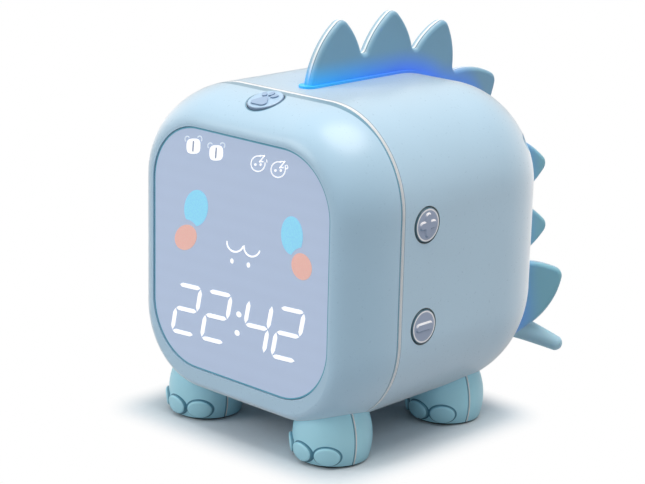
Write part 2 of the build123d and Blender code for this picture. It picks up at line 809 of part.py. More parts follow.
# Tail with its spike
rings = []
for index, (point, thick) in enumerate(tail_points):
    before = tail_points[max(index - 1, 0)][0]
    after = tail_points[min(index + 1, len(tail_points) - 1)][0]
    way = (after - before).normalized()
    rings.append(Plane(origin=point, x_dir=Vector(0, 0, 1).cross(way), z_dir=way) * Circle(thick))
tail = loft(rings) + Pos(tail_points[-1][0]) * Sphere(tail_points[-1][1])
tail_peg_start = tail_points[1][0]
tail = tail - rear_solid
tail += rod(tail_peg_start, tail_in, tail_span, tail_peg_radius)
tail -= rod(tail_seat, -tail_in, screw_length, screw_radius + pilot_clearance)
spike_way = Vector(math.sin(math.radians(tail_spike_turn)), math.cos(math.radians(tail_spike_turn)), 0)
spike_pitch = math.radians(tail_spike_pitch)
out = spike_way * math.cos(spike_pitch) + Vector(0, 0, math.sin(spike_pitch))
along = spike_way * math.sin(spike_pitch) - Vector(0, 0, math.cos(spike_pitch))
first, second = tail_points[1], tail_points[2]
root = first[0] + (second[0] - first[0]) * tail_spike_place_share + out * tail_spike_rise
place = Plane(origin=root - along * (tail_spike_base / 2), x_dir=along, z_dir=along.cross(out))
face = spike_face(tail_spike_base, tail_spike_height, tail_spike_lean_share, tail_spike_sink)
tail_spike = place * flat_fin(face) - rear_solid - tail - back_spikes
tail_spike = tail_spike.solids().sort_by(SortBy.VOLUME)[-1]
tail_spike += rod(root, -out, tail_spike_rise, spike_peg_radius)
tail -= rod(root, -out, tail_spike_rise + spike_peg_clearance, spike_peg_radius + spike_peg_clearance)
parts["tail"] = tail
parts["tail_spike"] = tail_spike
parts["tail_screw"] = screw(
    tail_seat, -tail_in, screw_length - overrun, screw_radius, tail_screw_head_radius, screw_head_height
)

# Display stack
parts["display_window"] = slab(window_face(0), window_recess, window_back, 0, window_mid)
mask_face = window_face(-ledge_width - stack_clearance)
parts["diffuser_sheet"] = slab(mask_face, window_back, stack_front, 0, window_mid)
leds = []
for cell in display_cells():
    mask_face -= cell
    spot = cell.center()
    led = Rectangle(led_length, led_width)
    led_front = display_board_front - led_height
    leds.append(slab(led, led_front, display_board_front, spot.X, window_mid + spot.Y))
parts["display_mask"] = slab(mask_face, stack_front, display_board_front, 0, window_mid)
parts["display_leds"] = group(leds)
board_low = body_low + display_board_end_inset
board_high = body_high - display_board_end_inset
display_board = block(
    -display_board_side, display_board_side, display_board_front, display_board_back, board_low, board_high
)
for x, z in boss_points:
    notch_radius = boss_radius + notch_clearance
    display_board -= rod((x, 0, z), (0, 1, 0), seam_depth, notch_radius)
    corner_level = board_low if z < body_mid else board_high
    corner = (math.copysign(display_board_side, x), display_board_front, corner_level)
    display_board -= Pos(*corner) * Box(2 * notch_radius, 2 * board_thickness + overrun, 4 * notch_radius)
for x, z in post_points:
    start = (x, 0, z)
    display_board -= rod(start, (0, 1, 0), seam_depth, small_screw_radius + screw_clearance)
parts["display_board"] = display_board

# Buttons, switches and their boards
caps = {
    "plus": (1, switch_levels[0], plus_symbol()),
    "minus": (1, switch_levels[1], minus_symbol()),
    "clock": (-1, switch_levels[0], clock_symbol()),
    "alarm": (-1, switch_levels[1], bell_symbol()),
}
switches = {-1: [], 1: []}
for name, (side, level, symbol) in caps.items():
    place = side_place(side, level)
    parts[name + "_button"] = place * button(button_radius, symbol)
    parts[name + "_plunger"] = place * plunger()
    switches[side].append(place * switch())
parts["paw_button"] = paw_place * button(paw_radius, paw_symbol())
parts["paw_plunger"] = paw_place * plunger()
parts["paw_switch"] = paw_place * switch()
paw_board = Box(paw_post_spread + 2 * paw_board_width / 2, paw_board_width, board_thickness, align=low_centre)
paw_board = paw_place * Pos(0, 0, switch_low - board_thickness) * paw_board
board_screws = []
small_shank = small_screw_length - pilot_clearance
for place in paw_posts:
    hole = Cylinder(small_screw_radius + screw_clearance, 2 * board_thickness + 2 * overrun)
    paw_board -= place * Pos(0, 0, switch_low - board_thickness / 2) * hole
    seat = place * Pos(0, 0, switch_low - board_thickness)
    board_screws.append(
        screw(seat.position, paw_out, small_shank, small_screw_radius, small_head_radius, small_head_height)
    )
parts["paw_switch_board"] = paw_board
for side, word in ((1, "right"), (-1, "left")):
    parts[word + "_switches"] = group(switches[side])
    outer = side * (body_side + switch_low)
    inner = outer - side * board_thickness
    reach = button_spread / 2 + switch_size / 2 + switch_board_margin
    plate = block(
        min(outer, inner), max(outer, inner), button_depth - switch_board_width / 2,
        button_depth + switch_board_width / 2, body_mid - reach, body_mid + reach,
    )
    for z in switch_posts:
        plate -= rod((0, button_depth, z), (side, 0, 0), body_side, small_screw_radius + screw_clearance)
        seat = (inner, button_depth, z)
        board_screws.append(
            screw(seat, (side, 0, 0), small_shank, small_screw_radius, small_head_radius, small_head_height)
        )
    parts[word + "_switch_board"] = plate

# Main board with chips, battery in its cradle, charging socket
main_board = block(
    -main_board_side, main_board_side, main_board_front, main_board_back, main_board_low, main_board_top
)
for x, y in main_posts:
    main_board -= rod((x, y, 0), (0, 0, 1), body_high, small_screw_radius + screw_clearance)
    seat = (x, y, main_board_top)
    board_screws.append(
        screw(seat, (0, 0, -1), small_shank, small_screw_radius, small_head_radius, small_head_height)
    )
parts["main_board"] = main_board
chips = []
for side in (-1, 1):
    x_low = side * chip_side - chip_size / 2
    y_high = chip_depth + chip_size
    z_low = main_board_low - chip_height
    chips.append(block(x_low, x_low + chip_size, chip_depth, y_high, z_low, main_board_low))
parts["main_chips"] = group(chips)
cell_half = cell_width / 2 + cell_clearance
head_room = small_head_radius + cell_clearance
cradle_half = cell_half + cradle_wall
cradle_back = cradle_front + cell_length + 2 * (cell_clearance + cradle_wall)
cradle = block(
    -cradle_half, cradle_half, cradle_front, cradle_back, main_board_top, main_board_top + cradle_height
)
cradle_floor = main_board_top + cradle_wall
cradle -= block(
    -cell_half, cell_half, cradle_front + cradle_wall, cradle_back - cradle_wall,
    cradle_floor, main_board_top + cradle_height + overrun,
)
for x, y in main_posts:
    cradle -= rod((x, y, main_board_top - overrun), (0, 0, 1), body_height, head_room)
parts["battery_cradle"] = cradle
cell = Box(cell_width, cell_length, cell_thickness, align=low_centre)
cell = fillet(cell.edges().filter_by(Axis.Y), cell_round)
parts["battery_cell"] = Pos(0, (cradle_front + cradle_back) / 2, cradle_floor) * cell
socket_back = main_board_back + socket_overhang
socket_front = socket_back - socket_length
shell_face = RectangleRounded(socket_width, socket_height, socket_height / 3)
mouth_face = RectangleRounded(
    socket_width - 2 * socket_wall, socket_height - 2 * socket_wall, socket_height / 3 - socket_wall
)
socket = slab(shell_face, socket_front, socket_back, -socket_side, port_level)
socket -= slab(mouth_face, socket_front + 2 * socket_wall, socket_back + overrun, -socket_side, port_level)
tongue = Rectangle(socket_width - 3 * socket_tongue, socket_tongue)
socket += slab(tongue, socket_front + socket_wall, socket_back - socket_tongue, -socket_side, port_level)
parts["charging_socket"] = socket

# Speaker
speaker_axis = Pos(0, speaker_depth, body_low + wall)
gasket = Circle(speaker_radius) - Circle(speaker_radius - speaker_rim)
parts["speaker_gasket"] = speaker_axis * extrude(gasket, amount=gasket_thickness)
basket_low = gasket_thickness
basket_mid = basket_low + speaker_flange
basket_high = basket_low + speaker_height
rim_inner = speaker_radius - speaker_rim
basket = make_face(
    Polyline(
        (speaker_radius, basket_low), (speaker_radius, basket_mid), (rim_inner + speaker_wall, basket_mid),
        (speaker_neck, basket_high), (0, basket_high), (0, basket_high - speaker_wall),
        (speaker_neck - speaker_wall, basket_high - speaker_wall), (rim_inner, basket_low), close=True,
    )
)
parts["speaker_basket"] = speaker_axis * revolve(Plane.XZ * basket, axis=Axis.Z)
parts["speaker_magnet"] = (
    speaker_axis * Pos(0, 0, basket_high) * Cylinder(magnet_radius, magnet_height, align=low_centre)
)
cone_edge = rim_inner - cone_clearance
cone_high = basket_high - speaker_wall
cone_neck = speaker_neck - cone_sink
cone = make_face(
    Polyline(
        (cone_edge, basket_low), (cone_neck, cone_high), (0, cone_high), (0, cone_high - cone_wall),
        (cone_neck - cone_wall, cone_high - cone_wall), (cone_edge - 2 * cone_wall, basket_low), close=True,
    )
)
parts["speaker_cone"] = speaker_axis * revolve(Plane.XZ * cone, axis=Axis.Z)

# Light board under the crest
crest_board = block(
    -crest_board_side, crest_board_side, crest_middle - crest_board_length / 2,
    crest_middle + crest_board_length / 2, crest_board_low, crest_board_top,
)
for x, y in crest_posts:
    crest_board -= rod((x, y, 0), (0, 0, 1), body_high, small_screw_radius + screw_clearance)
    seat = (x, y, crest_board_low)
    board_screws.append(
        screw(seat, (0, 0, 1), small_shank, small_screw_radius, small_head_radius, small_head_height)
    )
parts["crest_light_board"] = crest_board
crest_leds = []
led_step = crest_board_length / crest_led_count
for index in range(crest_led_count):
    y = crest_middle + led_step * (index - (crest_led_count - 1) / 2)
    led = Box(crest_led_size, crest_led_size, crest_led_height, align=low_centre)
    crest_leds.append(Pos(0, y, crest_board_top) * led)
parts["crest_leds"] = group(crest_leds)

# Feet: a front half with three toes, a rear half and a rubber pad under each
shank_low = foot_seat - foot_screw_length
foot_screws = []
cup = foot_turn(0, foot_pad_recess, foot_height)
hollow = foot_turn(-foot_wall, foot_pad_recess, foot_height) - Pos(0, 0, foot_pad_recess) * Cylinder(
    2 * foot_bulge, 2 * (foot_wall + foot_pad_recess)
)
recess = Cylinder(foot_pad_radius + foot_pad_clearance, 2 * foot_pad_thickness)
cup -= hollow
cup -= recess
boss = Cylinder(foot_boss_radius, foot_height, align=low_centre) - recess
boss_room = Cylinder(foot_boss_radius + foot_boss_clearance, 2 * foot_height)
pilot = Pos(0, 0, shank_low - screw_clearance) * Cylinder(
    screw_radius + pilot_clearance, foot_height, align=low_centre
)
half_box = Box(4 * foot_bulge, 2 * foot_bulge, 2 * foot_height, align=(Align.CENTER, Align.MAX, Align.CENTER))
toe_half = cup & (Pos(0, foot_split - foot_split_gap / 2, 0) * half_box)
for toe in toe_pads():
    toe_half += toe
toe_half = toe_half + boss - pilot - recess
heel_box = Box(4 * foot_bulge, 2 * foot_bulge, 2 * foot_height, align=(Align.CENTER, Align.MIN, Align.CENTER))
heel_half = (cup & (Pos(0, foot_split + foot_split_gap / 2, 0) * heel_box)) - boss_room
foot_pad = Cylinder(foot_pad_radius, foot_pad_thickness, align=low_centre)
seam_filler = extrude(outline(front_edge, 0), amount=-seam_gap)
for name, (x, y) in foot_points.items():
    place = Pos(x, y, 0) * Rot(0, 0, foot_aim)
    toe_part = place * toe_half - rear_solid
    heel_part = place * heel_half - rear_solid
    if name.startswith("front"):
        toe_part = toe_part - front_solid - seam_filler
        heel_part = heel_part - front_solid - seam_filler
    parts[name + "_toes"] = toe_part
    parts[name + "_heel"] = heel_part
    parts[name + "_pad"] = Pos(x, y, 0) * foot_pad
    seat = (x, y, foot_seat)
    foot_screws.append(
        screw(seat, (0, 0, -1), foot_screw_length, screw_radius, screw_head_radius, screw_head_height)
    )
parts["foot_screws"] = group(foot_screws)

# Screws of the shells and of the display board
shell_screws = []
for x, z in boss_points:
    seat = (x, boss_reach + screw_seat, z)
    shell_screws.append(
        screw(seat, (0, -1, 0), screw_length, screw_radius, screw_head_radius, screw_head_height)
    )
for x, z in post_points:
    seat = (x, display_board_back, z)
    board_screws.append(
        screw(seat, (0, -1, 0), small_shank, small_screw_radius, small_head_radius, small_head_height)
    )
parts["shell_screws"] = group(shell_screws)
parts["board_screws"] = group(board_screws)

# The origin goes to the middle of the footprint, on the floor
boxes = [part.bounding_box() for part in parts.values()]
middle = (min(box.min.Y for box in boxes) + max(box.max.Y for box in boxes)) / 2
os.makedirs("parts", exist_ok=True)
for name, part in parts.items():
    solids = [Pos(0, -middle, 0) * solid for solid in part.solids()]
    export_step(solids[0] if len(solids) == 1 else group(solids), "parts/" + name + ".step")
print("origin depth behind the front", round(middle, 3), "nodes", len(parts))
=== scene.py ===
import json
import math

import bmesh
import bpy
import numpy as np
from mathutils import Matrix, Vector


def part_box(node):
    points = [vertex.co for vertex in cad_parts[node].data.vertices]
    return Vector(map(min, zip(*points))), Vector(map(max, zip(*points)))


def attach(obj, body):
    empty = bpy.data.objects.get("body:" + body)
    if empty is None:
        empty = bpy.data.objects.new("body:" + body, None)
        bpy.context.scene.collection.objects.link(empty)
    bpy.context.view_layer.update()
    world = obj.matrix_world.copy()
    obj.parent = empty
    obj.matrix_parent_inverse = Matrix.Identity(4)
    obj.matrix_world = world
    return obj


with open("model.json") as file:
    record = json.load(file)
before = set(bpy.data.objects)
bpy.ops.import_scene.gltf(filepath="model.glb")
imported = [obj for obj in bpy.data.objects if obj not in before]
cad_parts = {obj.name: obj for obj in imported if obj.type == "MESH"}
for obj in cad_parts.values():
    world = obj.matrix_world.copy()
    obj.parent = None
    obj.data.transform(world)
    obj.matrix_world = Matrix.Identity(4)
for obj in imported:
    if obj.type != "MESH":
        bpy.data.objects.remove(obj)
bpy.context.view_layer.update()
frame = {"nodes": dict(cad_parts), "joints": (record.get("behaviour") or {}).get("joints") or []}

bl_info = {
    "name": "Dinosaur bedside clock",
    "version": (1, 0, 0),
    "blender": (4, 5, 0),
    "location": "View3D > Sidebar > Clock",
    "description": "Finishes the clock's moulded pieces, lays its lit display and sets a plain stage",
    "category": "Object",
}

NODES = frame["nodes"]
MM = 0.001
BODY = "clock_body"
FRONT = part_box("front_shell")[0].y
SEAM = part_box("rear_shell")[0].y
BODY_LOW, BODY_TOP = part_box("rear_shell")[0].z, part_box("rear_shell")[1].z
BODY_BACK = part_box("rear_shell")[1].y
SCREEN_LOW, SCREEN_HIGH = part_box("display_window")

# Lit figures on the screen: millimetres to the right of its middle line, and above the floor
# An eye or a cheek is an oval: its middle, its half sizes and the share by which it leans
EYES = ((-17.2, 65.25, 4.85, 5.3, 0.07), (20.6, 65.05, 4.05, 5.35, -0.07))
CHEEKS = ((-21.45, 55.85, 4.55, 3.75, 0.15), (24.45, 57.2, 3.75, 3.75, -0.17))
BOWS = ((-1.15, 58.55, 3.35, 2.65), (5.5, 58.65, 3.2, 2.7))
NOSTRILS = ((-2.45, 52.95), (4.1, 53.2))
BOW_SPAN = (176, 335)
NOSTRIL = (0.66, 0.7)
ALARMS = ((-18.4, 82.9, 2.8, 2.15), (-9.15, 82.6, 2.7, 2.15))
SNOOZES = ((7.3, 82.5), (15.0, 82.25))
# A digit is its middle and the names of its lit bars; the colon's dots are read from the digits' level,
# the lean is in degrees, and the gap is left at each end of a bar
DIGITS = ((-21.0, "abged"), (-8.6, "abged"), (7.6, "fgbc"), (19.8, "abged"))
COLON = ((0.55, 2.4), (-0.05, -3.2))
COLON_DOT = (1.0, 0.8)
DIGIT_LEAN = 12
BAR_GAP = 0.25
# The eyes, cheeks and icons climb to the right by this share, and the row of digits by the other
CLIMB = 0.18
DIGIT_CLIMB = 0.06
# Parts of an icon, in millimetres from its middle: an alarm's hand and ears, a snooze icon's moon with
# its gap in degrees, its letter and its eyes, and the small marks beside the two snooze icons
HAND, HAND_WIDTH = ((0.1, 1.3), (-0.2, -1.3)), 0.65
EAR, EAR_WIDTH, EAR_PLACE, EAR_SPAN = (0.95, 0.8), 0.36, (0.9, 0.95), (-130, 50)
MOON = (2.7, 2.15, 72, 366)
LETTER = ((0.85, 2.2), (2.45, 2.2), (0.65, 0.55), (1.95, 0.55))
MOON_EYE, MOON_EYE_DROP = (0.4, 0.34), 0.25
DASH = ((3.25, 1.65), (3.45, 1.0))
RING = (3.1, 1.3, 0.5, 0.5, 150, 450)

# Lines drawn in the materials, in millimetres: how far their edges fade, and each line's place and
# half width
FADE = 0.1
# Painted lines along the seam, read backwards from it: shade in front, a highlight behind and a shade line
# behind that, each with the share that broadens it on the top and its colour; the broadening begins SEAM_RISE
# below the top
SEAM_LINES = ((-0.54, 0.36, 0.3, "groove_shade"), (0.25, 0.35, 0.6, "seam"), (0.78, 0.1, 0.6, "shadow_line"))
SEAM_RISE = 7
# Painted shade round the buttons' holes, and a painted highlight and painted shade on their caps, read from
# the button's middle; an edge is where its painted shade begins and where it is full
HOLE_LINE, PAW_HOLE_LINE, CAP_RIM = (5.1, 0.15), (5.6, 0.15), (4.3, 0.17)
CAP_EDGE, PAW_EDGE = (4.5, 4.65), (4.95, 5.05)
# Across a foot, read backwards from where its halves meet: a painted shade line and a painted highlight line
FOOT_LINES = ((-0.35, 0.12, "foot_crease_shade"), (0.1, 0.17, "seam"))

# Raised signs of the side buttons: length, bar thickness, rise, and how much wider the bevel's foot is
SIGN, SIGN_BAR, SIGN_RISE, SIGN_SKIRT = 6.2, 1.7, 0.42, 0.95
SIDE_BUTTONS = ("plus", "minus", "clock", "alarm")
PAW_AXIS = next(tuple(joint["axis"]) for joint in frame["joints"] if joint["child"] == "paw")
FEET = ("front_left", "front_right", "rear_left", "rear_right")
FOOT_AIM, TOE_TURN = math.radians(-6), math.radians(42)

# Lamps: name, place and size across in metres, power in watts, colour
LAMPS = (
    ("key", (0.15, 0.06, 1.05), 0.75, 7.6, "#FFF9F4"),
    ("fill", (-0.36, -0.62, 0.36), 0.4, 1.45, "#FFFFFF"),
)
LAMP_AIM = Vector((0, 0, 0.05))
# Camera: degrees to the right of the front, above the level and of roll; focal length and image width in
# pixels, sensor width in millimetres, the point it looks at and its distance from there
YAW, PITCH, ROLL = math.radians(43.296), math.radians(15.585), math.radians(1.35)
FOCAL, IMAGE_WIDTH, SENSOR = 1971.41, 645, 36.0
TARGET, DISTANCE = Vector((-5.391 * MM, FRONT + 40.0 * MM, 50.455 * MM)), 578.346 * MM


def linear(code):
    """Linear red, green and blue of an sRGB hex code."""
    part = np.array([int(code[i:i + 2], 16) for i in (1, 3, 5)]) / 255
    return tuple(np.where(part <= 0.04045, part / 12.92, ((part + 0.055) / 1.055) ** 2.4).tolist())


def tint(label, text, code):
    """Colour property with its default from a hex code."""
    return bpy.props.FloatVectorProperty(
        name=label, description=text, subtype="COLOR", size=3, min=0.0, max=1.0, default=linear(code)
    )


def length(label, text, mm):
    """Length property with its default in millimetres."""
    return bpy.props.FloatProperty(
        name=label, description=text, subtype="DISTANCE", unit="LENGTH", min=0.0, precision=5, default=mm * MM
    )


class ClockColours(bpy.types.PropertyGroup):
    """Colours of the clock's visible pieces."""

    shell: tint("Shell", "Powder blue of the two body shells", "#AFD3EA")
    # Painted highlight along the seam, with painted shade in front of it and behind it
    seam: tint("Seam", "Painted highlight on the rear shell along the seam", "#FFFFFF")
    groove_shade: tint("Groove", "Painted shade on the front shell along the seam and round the paw button", "#3F8AA8")
    shadow_line: tint("Shadow line", "Painted shade line behind the seam's painted highlight", "#7C9DB6")
    # Painted shade round the side buttons' holes and at their caps' edges
    hole_shade: tint("Hole", "Painted shade round the side buttons' holes and at their caps' edges", "#2F5A6A")
    screen: tint("Screen", "Lavender blue of the tinted screen", "#AFBFD9")
    # Painted shade line round the screen
    screen_edge_shade: tint("Screen edge", "Painted teal shade line round the screen", "#4A90A6")
    side_button: tint("Side button", "Lavender grey of the side buttons", "#A3B1CB")
    # Painted highlight on the side buttons' rims and on the up-facing sign bevels
    button_highlight: tint("Button rim", "Painted highlight on the side buttons' rims and up-facing sign bevels", "#FCFCFF")
    paw_button: tint("Paw button", "Ice blue of the paw button", "#AECBE4")
    paw_sign: tint("Paw sign", "Grey blue of the raised paw", "#98B2D0")
    # Painted shade on the raised paw's walls, the paw button's edge and the down-facing sign bevels
    edge_shade: tint("Paw edge", "Painted shade on the raised paw's walls, the paw button's edge and down-facing sign bevels", "#7C94B2")
    spike: tint("Spike", "Grey blue of the silicone spikes", "#82AFC8")
    # Painted highlight on the spikes' rounded edges
    spike_rim_highlight: tint("Spike rim", "Painted highlight on the spikes' rounded edges", "#B7D2E0")
    back_spike: tint("Back spike", "Teal of the silicone spikes on the back and the tail", "#8AC2D3")
    glow: tint("Glow", "Light at the root of the spikes", "#4C86F0")
    front_glow: tint("Front glow", "Light at the root of the crest's first spike", "#36B4FA")
    tail: tint("Tail", "Pale teal blue of the tail", "#AFD7E8")
    foot: tint("Foot", "Teal blue of the feet", "#B4ECFC")
    # Painted shade round the toes and beside the line where a foot's halves meet
    foot_crease_shade: tint("Foot groove", "Painted shade round each toe and beside the line where a foot's halves meet", "#4F8BA3")
    eye: tint("Eye", "Sky blue of the lit eyes", "#8DD5F2")
    cheek: tint("Cheek", "Salmon of the lit cheeks", "#E4B2A7")
    digit: tint("Digit", "White of the digits, the mouth and the icons", "#FFFFFF")


class ClockDisplay(bpy.types.PropertyGroup):
    """Sizes of the lit display."""

    digit_rise: length("Digit rise", "From the middle bar of a digit to its upper bar", 7.2)
    digit_reach: length("Digit reach", "From the middle of a digit to its upright bars", 4.45)
    digit_level: length("Digit level", "Height of the digits' middle bars above the floor", 35.7)
    bar_thickness: length("Bar thickness", "Thickness of a level bar", 1.2)
    upright_thickness: length("Upright thickness", "Thickness of an upright bar", 1.5)
    cheek_gap: length("Cheek gap", "Room between a cheek and the eye above it", 1.6)
    line: length("Line", "Width of the thin lit lines", 0.46)
    film: length("Film", "Thickness of the lit figures on the screen", 0.08)


# Meshes: each shape is a grid of points, rows by columns, whose columns close on themselves

def weave(grids):
    """Points and quads of several grids. A grid is (points, rows close on themselves)."""
    points, quads, start = [], [], 0
    for grid, ring in grids:
        rows, columns = grid.shape[:2]
        row, column = np.meshgrid(np.arange(rows if ring else rows - 1), np.arange(columns), indexing="ij")
        after, beside = (row + 1) % rows, (column + 1) % columns
        quad = np.stack((row, after, after, row), -1) * columns
        quad = quad + np.stack((column, column, beside, beside), -1)
        points.append(grid.reshape(-1, 3))
        quads.append(quad.reshape(-1, 4) + start)
        start += rows * columns
    return np.concatenate(points), np.concatenate(quads)


def piece(name, grids, material, body=BODY):
    """One closed object from grids of points, joined at seams and poles, that rides on a body."""
    weld, sliver = 1e-7, 1e-8
    points, quads = weave(grids)
    mesh = bpy.data.meshes.new(name)
    mesh.from_pydata(points, [], quads.tolist())
    shape = bmesh.new()
    shape.from_mesh(mesh)
    bmesh.ops.remove_doubles(shape, verts=shape.verts, dist=weld)
    bmesh.ops.dissolve_degenerate(shape, edges=shape.edges, dist=sliver)
    bmesh.ops.recalc_face_normals(shape, faces=shape.faces)
    shape.to_mesh(mesh)
    shape.free()
    mesh.materials.append(material)
    made = bpy.data.objects.new(name, mesh)
    bpy.context.scene.collection.objects.link(made)
    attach(made, body)
    return made


def plate(rim, film):
    """Thin plate on the screen: its rows run from the middle of its front over the rim to the middle
    of its back."""
    middle = rim.mean(0)
    flat = middle + (rim - middle) * np.array([0.0, 1.0, 1.0, 0.0])[:, None, None]
    back = SCREEN_LOW.y
    depth = np.array([back - film, back - film, back, back])[:, None, None]
    depth = np.broadcast_to(depth, flat.shape[:2] + (1,))
    return np.concatenate((flat[..., :1], depth, flat[..., 1:]), 2), False


def stroke(path, width, film, lift=0.0):
    """Line of a given width along a path in X and Z: a flat band whose half width falls as a
    quarter circle over the last half width at each end, so its ends are round."""
    half = width / 2
    first, last = path[0] - path[1], path[-1] - path[-2]
    turn = np.linspace(0, math.pi / 2, 7)[:, None]
    lead = path[0] + first / np.linalg.norm(first) * half * np.cos(turn)
    trail = path[-1] + last / np.linalg.norm(last) * half * np.sin(turn)
    middle = np.full(len(path) - 2, half)
    wide = np.concatenate((half * np.sin(turn[:, 0]), middle, half * np.cos(turn[:, 0])))
    path = np.concatenate((lead, path[1:-1], trail))
    way = np.gradient(path, axis=0)
    way = way / np.linalg.norm(way, axis=1, keepdims=True)
    across = np.stack((-way[:, 1], way[:, 0]), 1) * wide[:, None]
    back = np.full(len(path), SCREEN_LOW.y - lift)
    rails = ((1, back - film), (-1, back - film), (-1, back), (1, back))
    sides = [np.stack(((path + s * across)[:, 0], y, (path + s * across)[:, 1]), 1) for s, y in rails]
    return np.stack(sides, 1), False


def climb(points, x, share=CLIMB):
    """Points in X and Z, raised by a share of their distance to the right of x."""
    return points + np.stack((np.zeros(len(points)), share * (points[:, 0] - x)), 1)


def oval(x, z, half_x, half_z, lean=0.0, power=2.0, steps=72):
    """Rim of an oval: each half size times a signed power of cosine and sine, where a power over two
    squares it off; it leans to the side by a share of its height."""
    turn = np.linspace(0, math.tau, steps, endpoint=False)
    wave = np.stack((np.cos(turn), np.sin(turn)), 1)
    rim = np.sign(wave) * np.abs(wave) ** (2 / power) * (half_x, half_z)
    return (np.array((x, z)) + rim + rim[:, 1:] * (lean, 0.0)) * MM


def arc(x, z, half_x, half_z, start, end, steps=48):
    """Path along an oval between two angles in degrees."""
    turn = np.radians(np.linspace(start, end, steps))
    return np.stack((x + half_x * np.cos(turn), z + half_z * np.sin(turn)), 1) * MM


def bitten(eye, cheek, gap, steps=240):
    """Rim of an eye less a grown cheek: along each ray from the eye's middle, the nearer of the
    eye's own edge and the near side of the cheek's oval."""
    turn = np.linspace(0, math.tau, steps, endpoint=False)
    ray = np.stack((np.cos(turn), np.sin(turn)), 1)
    edge = 1 / np.hypot(*(ray / eye[2:4]).T)
    size = np.array(cheek[2:4]) + gap
    off = np.array(cheek[:2]) - eye[:2]
    off[1] -= CLIMB * off[0]
    a, b = ((ray / size) ** 2).sum(1), (ray * off / size**2).sum(1)
    inside = b**2 - a * (((off / size) ** 2).sum() - 1)
    near_side = (b - np.sqrt(np.maximum(inside, 0))) / a
    edge = np.where((inside > 0) & (b > 0), np.minimum(edge, near_side), edge)
    rim = ray * edge[:, None]
    rim = rim + rim[:, 1:] * (eye[4], 0.0)
    return climb((np.array(eye[:2]) + rim) * MM, eye[0] * MM)


def bar(run, thick, steps=25):
    """Rim of a digit's bar: full thickness along it, and a soft point at each end, where the half
    thickness falls as a power of the way to the tip."""
    along = run * np.sin(np.linspace(-math.pi / 2, math.pi / 2, steps))
    taper, power = 0.85 * thick, 0.95
    half = thick / 2 * np.minimum(1, (run - np.abs(along)) / taper) ** power
    upper, lower = np.stack((along, half), 1), np.stack((along, -half), 1)
    return np.concatenate((upper, lower[-2:0:-1]))


def points_of(name):
    """Points of a CAD node's mesh, as rows of X, Y and Z."""
    vertices = NODES[name].data.vertices
    flat = np.empty(3 * len(vertices), dtype=np.float32)
    vertices.foreach_get("co", flat)
    return flat.reshape(-1, 3).astype(float)


def crossed(arms, size, thick, steps=144):
    """Distance from the middle of a sign to its edge, on rays all round: the farthest of its
    round-ended bars, each an end circle's far side or its straight flank."""
    turn = np.linspace(0, math.tau, steps, endpoint=False)
    reach = np.zeros(steps)
    for arm in arms:
        across, along = np.abs(np.sin(turn - arm)), np.abs(np.cos(turn - arm))
        end = (size - thick) / 2
        cap = end * along + np.sqrt(np.maximum((thick / 2) ** 2 - (end * across) ** 2, 0))
        flank = thick / 2 / np.maximum(across, 1e-6)
        reach = np.maximum(reach, np.where(flank * along < end, flank, cap))
    return turn, reach


# Materials

def add(tree, kind, inputs=(), out=0, **settings):
    """Adds one node, sets its settings, fills each input with a value or a link, and gives one output."""
    made = tree.nodes.new("ShaderNode" + kind)
    for key, value in settings.items():
        setattr(made, key, value)
    pairs = inputs.items() if isinstance(inputs, dict) else enumerate(inputs)
    for key, value in pairs:
        socket = made.inputs[key]
        if isinstance(value, bpy.types.NodeSocket):
            tree.links.new(value, socket)
        else:
            socket.default_value = (*value[:3], 1.0) if socket.type == "RGBA" else value
    return made if out is None else made.outputs[out]


def surface(name, roughness, ior=1.5, **sockets):
    """Material with one shader: the material, its tree, the shader and the object coordinates."""
    material = bpy.data.materials.new(name)
    material.use_nodes = True
    tree = material.node_tree
    tree.nodes.clear()
    inputs = {"Roughness": roughness, "IOR": ior}
    inputs.update({key.replace("_", " "): value for key, value in sockets.items()})
    shader = add(tree, "BsdfPrincipled", inputs, None)
    add(tree, "OutputMaterial", {"Surface": shader.outputs[0]}, None)
    return material, tree, shader, add(tree, "TexCoord", out="Object")


def near(tree, value, middle, half, soft):
    """Mask that is one within half of a middle reading and fades over soft."""
    off = add(tree, "Math", (value, middle), operation="SUBTRACT")
    off = add(tree, "Math", (off,), operation="ABSOLUTE")
    return add(tree, "MapRange", (off, half, half + soft, 1.0, 0.0), interpolation_type="SMOOTHSTEP")


def outside(tree, where, middle, stretch, inner=(0.0, 0.0, 0.0)):
    """Distance outside a box round a middle, after each axis is stretched: the length of what is left
    of the absolute offset beyond the box's half sizes."""
    shift = tuple(-m * s for m, s in zip(middle, stretch))
    off = add(tree, "VectorMath", (where, stretch, shift), operation="MULTIPLY_ADD")
    off = add(tree, "VectorMath", (off,), operation="ABSOLUTE")
    off = add(tree, "VectorMath", (off, inner), operation="SUBTRACT")
    off = add(tree, "VectorMath", (off, (0.0, 0.0, 0.0)), operation="MAXIMUM")
    return add(tree, "VectorMath", (off,), "Value", operation="LENGTH")


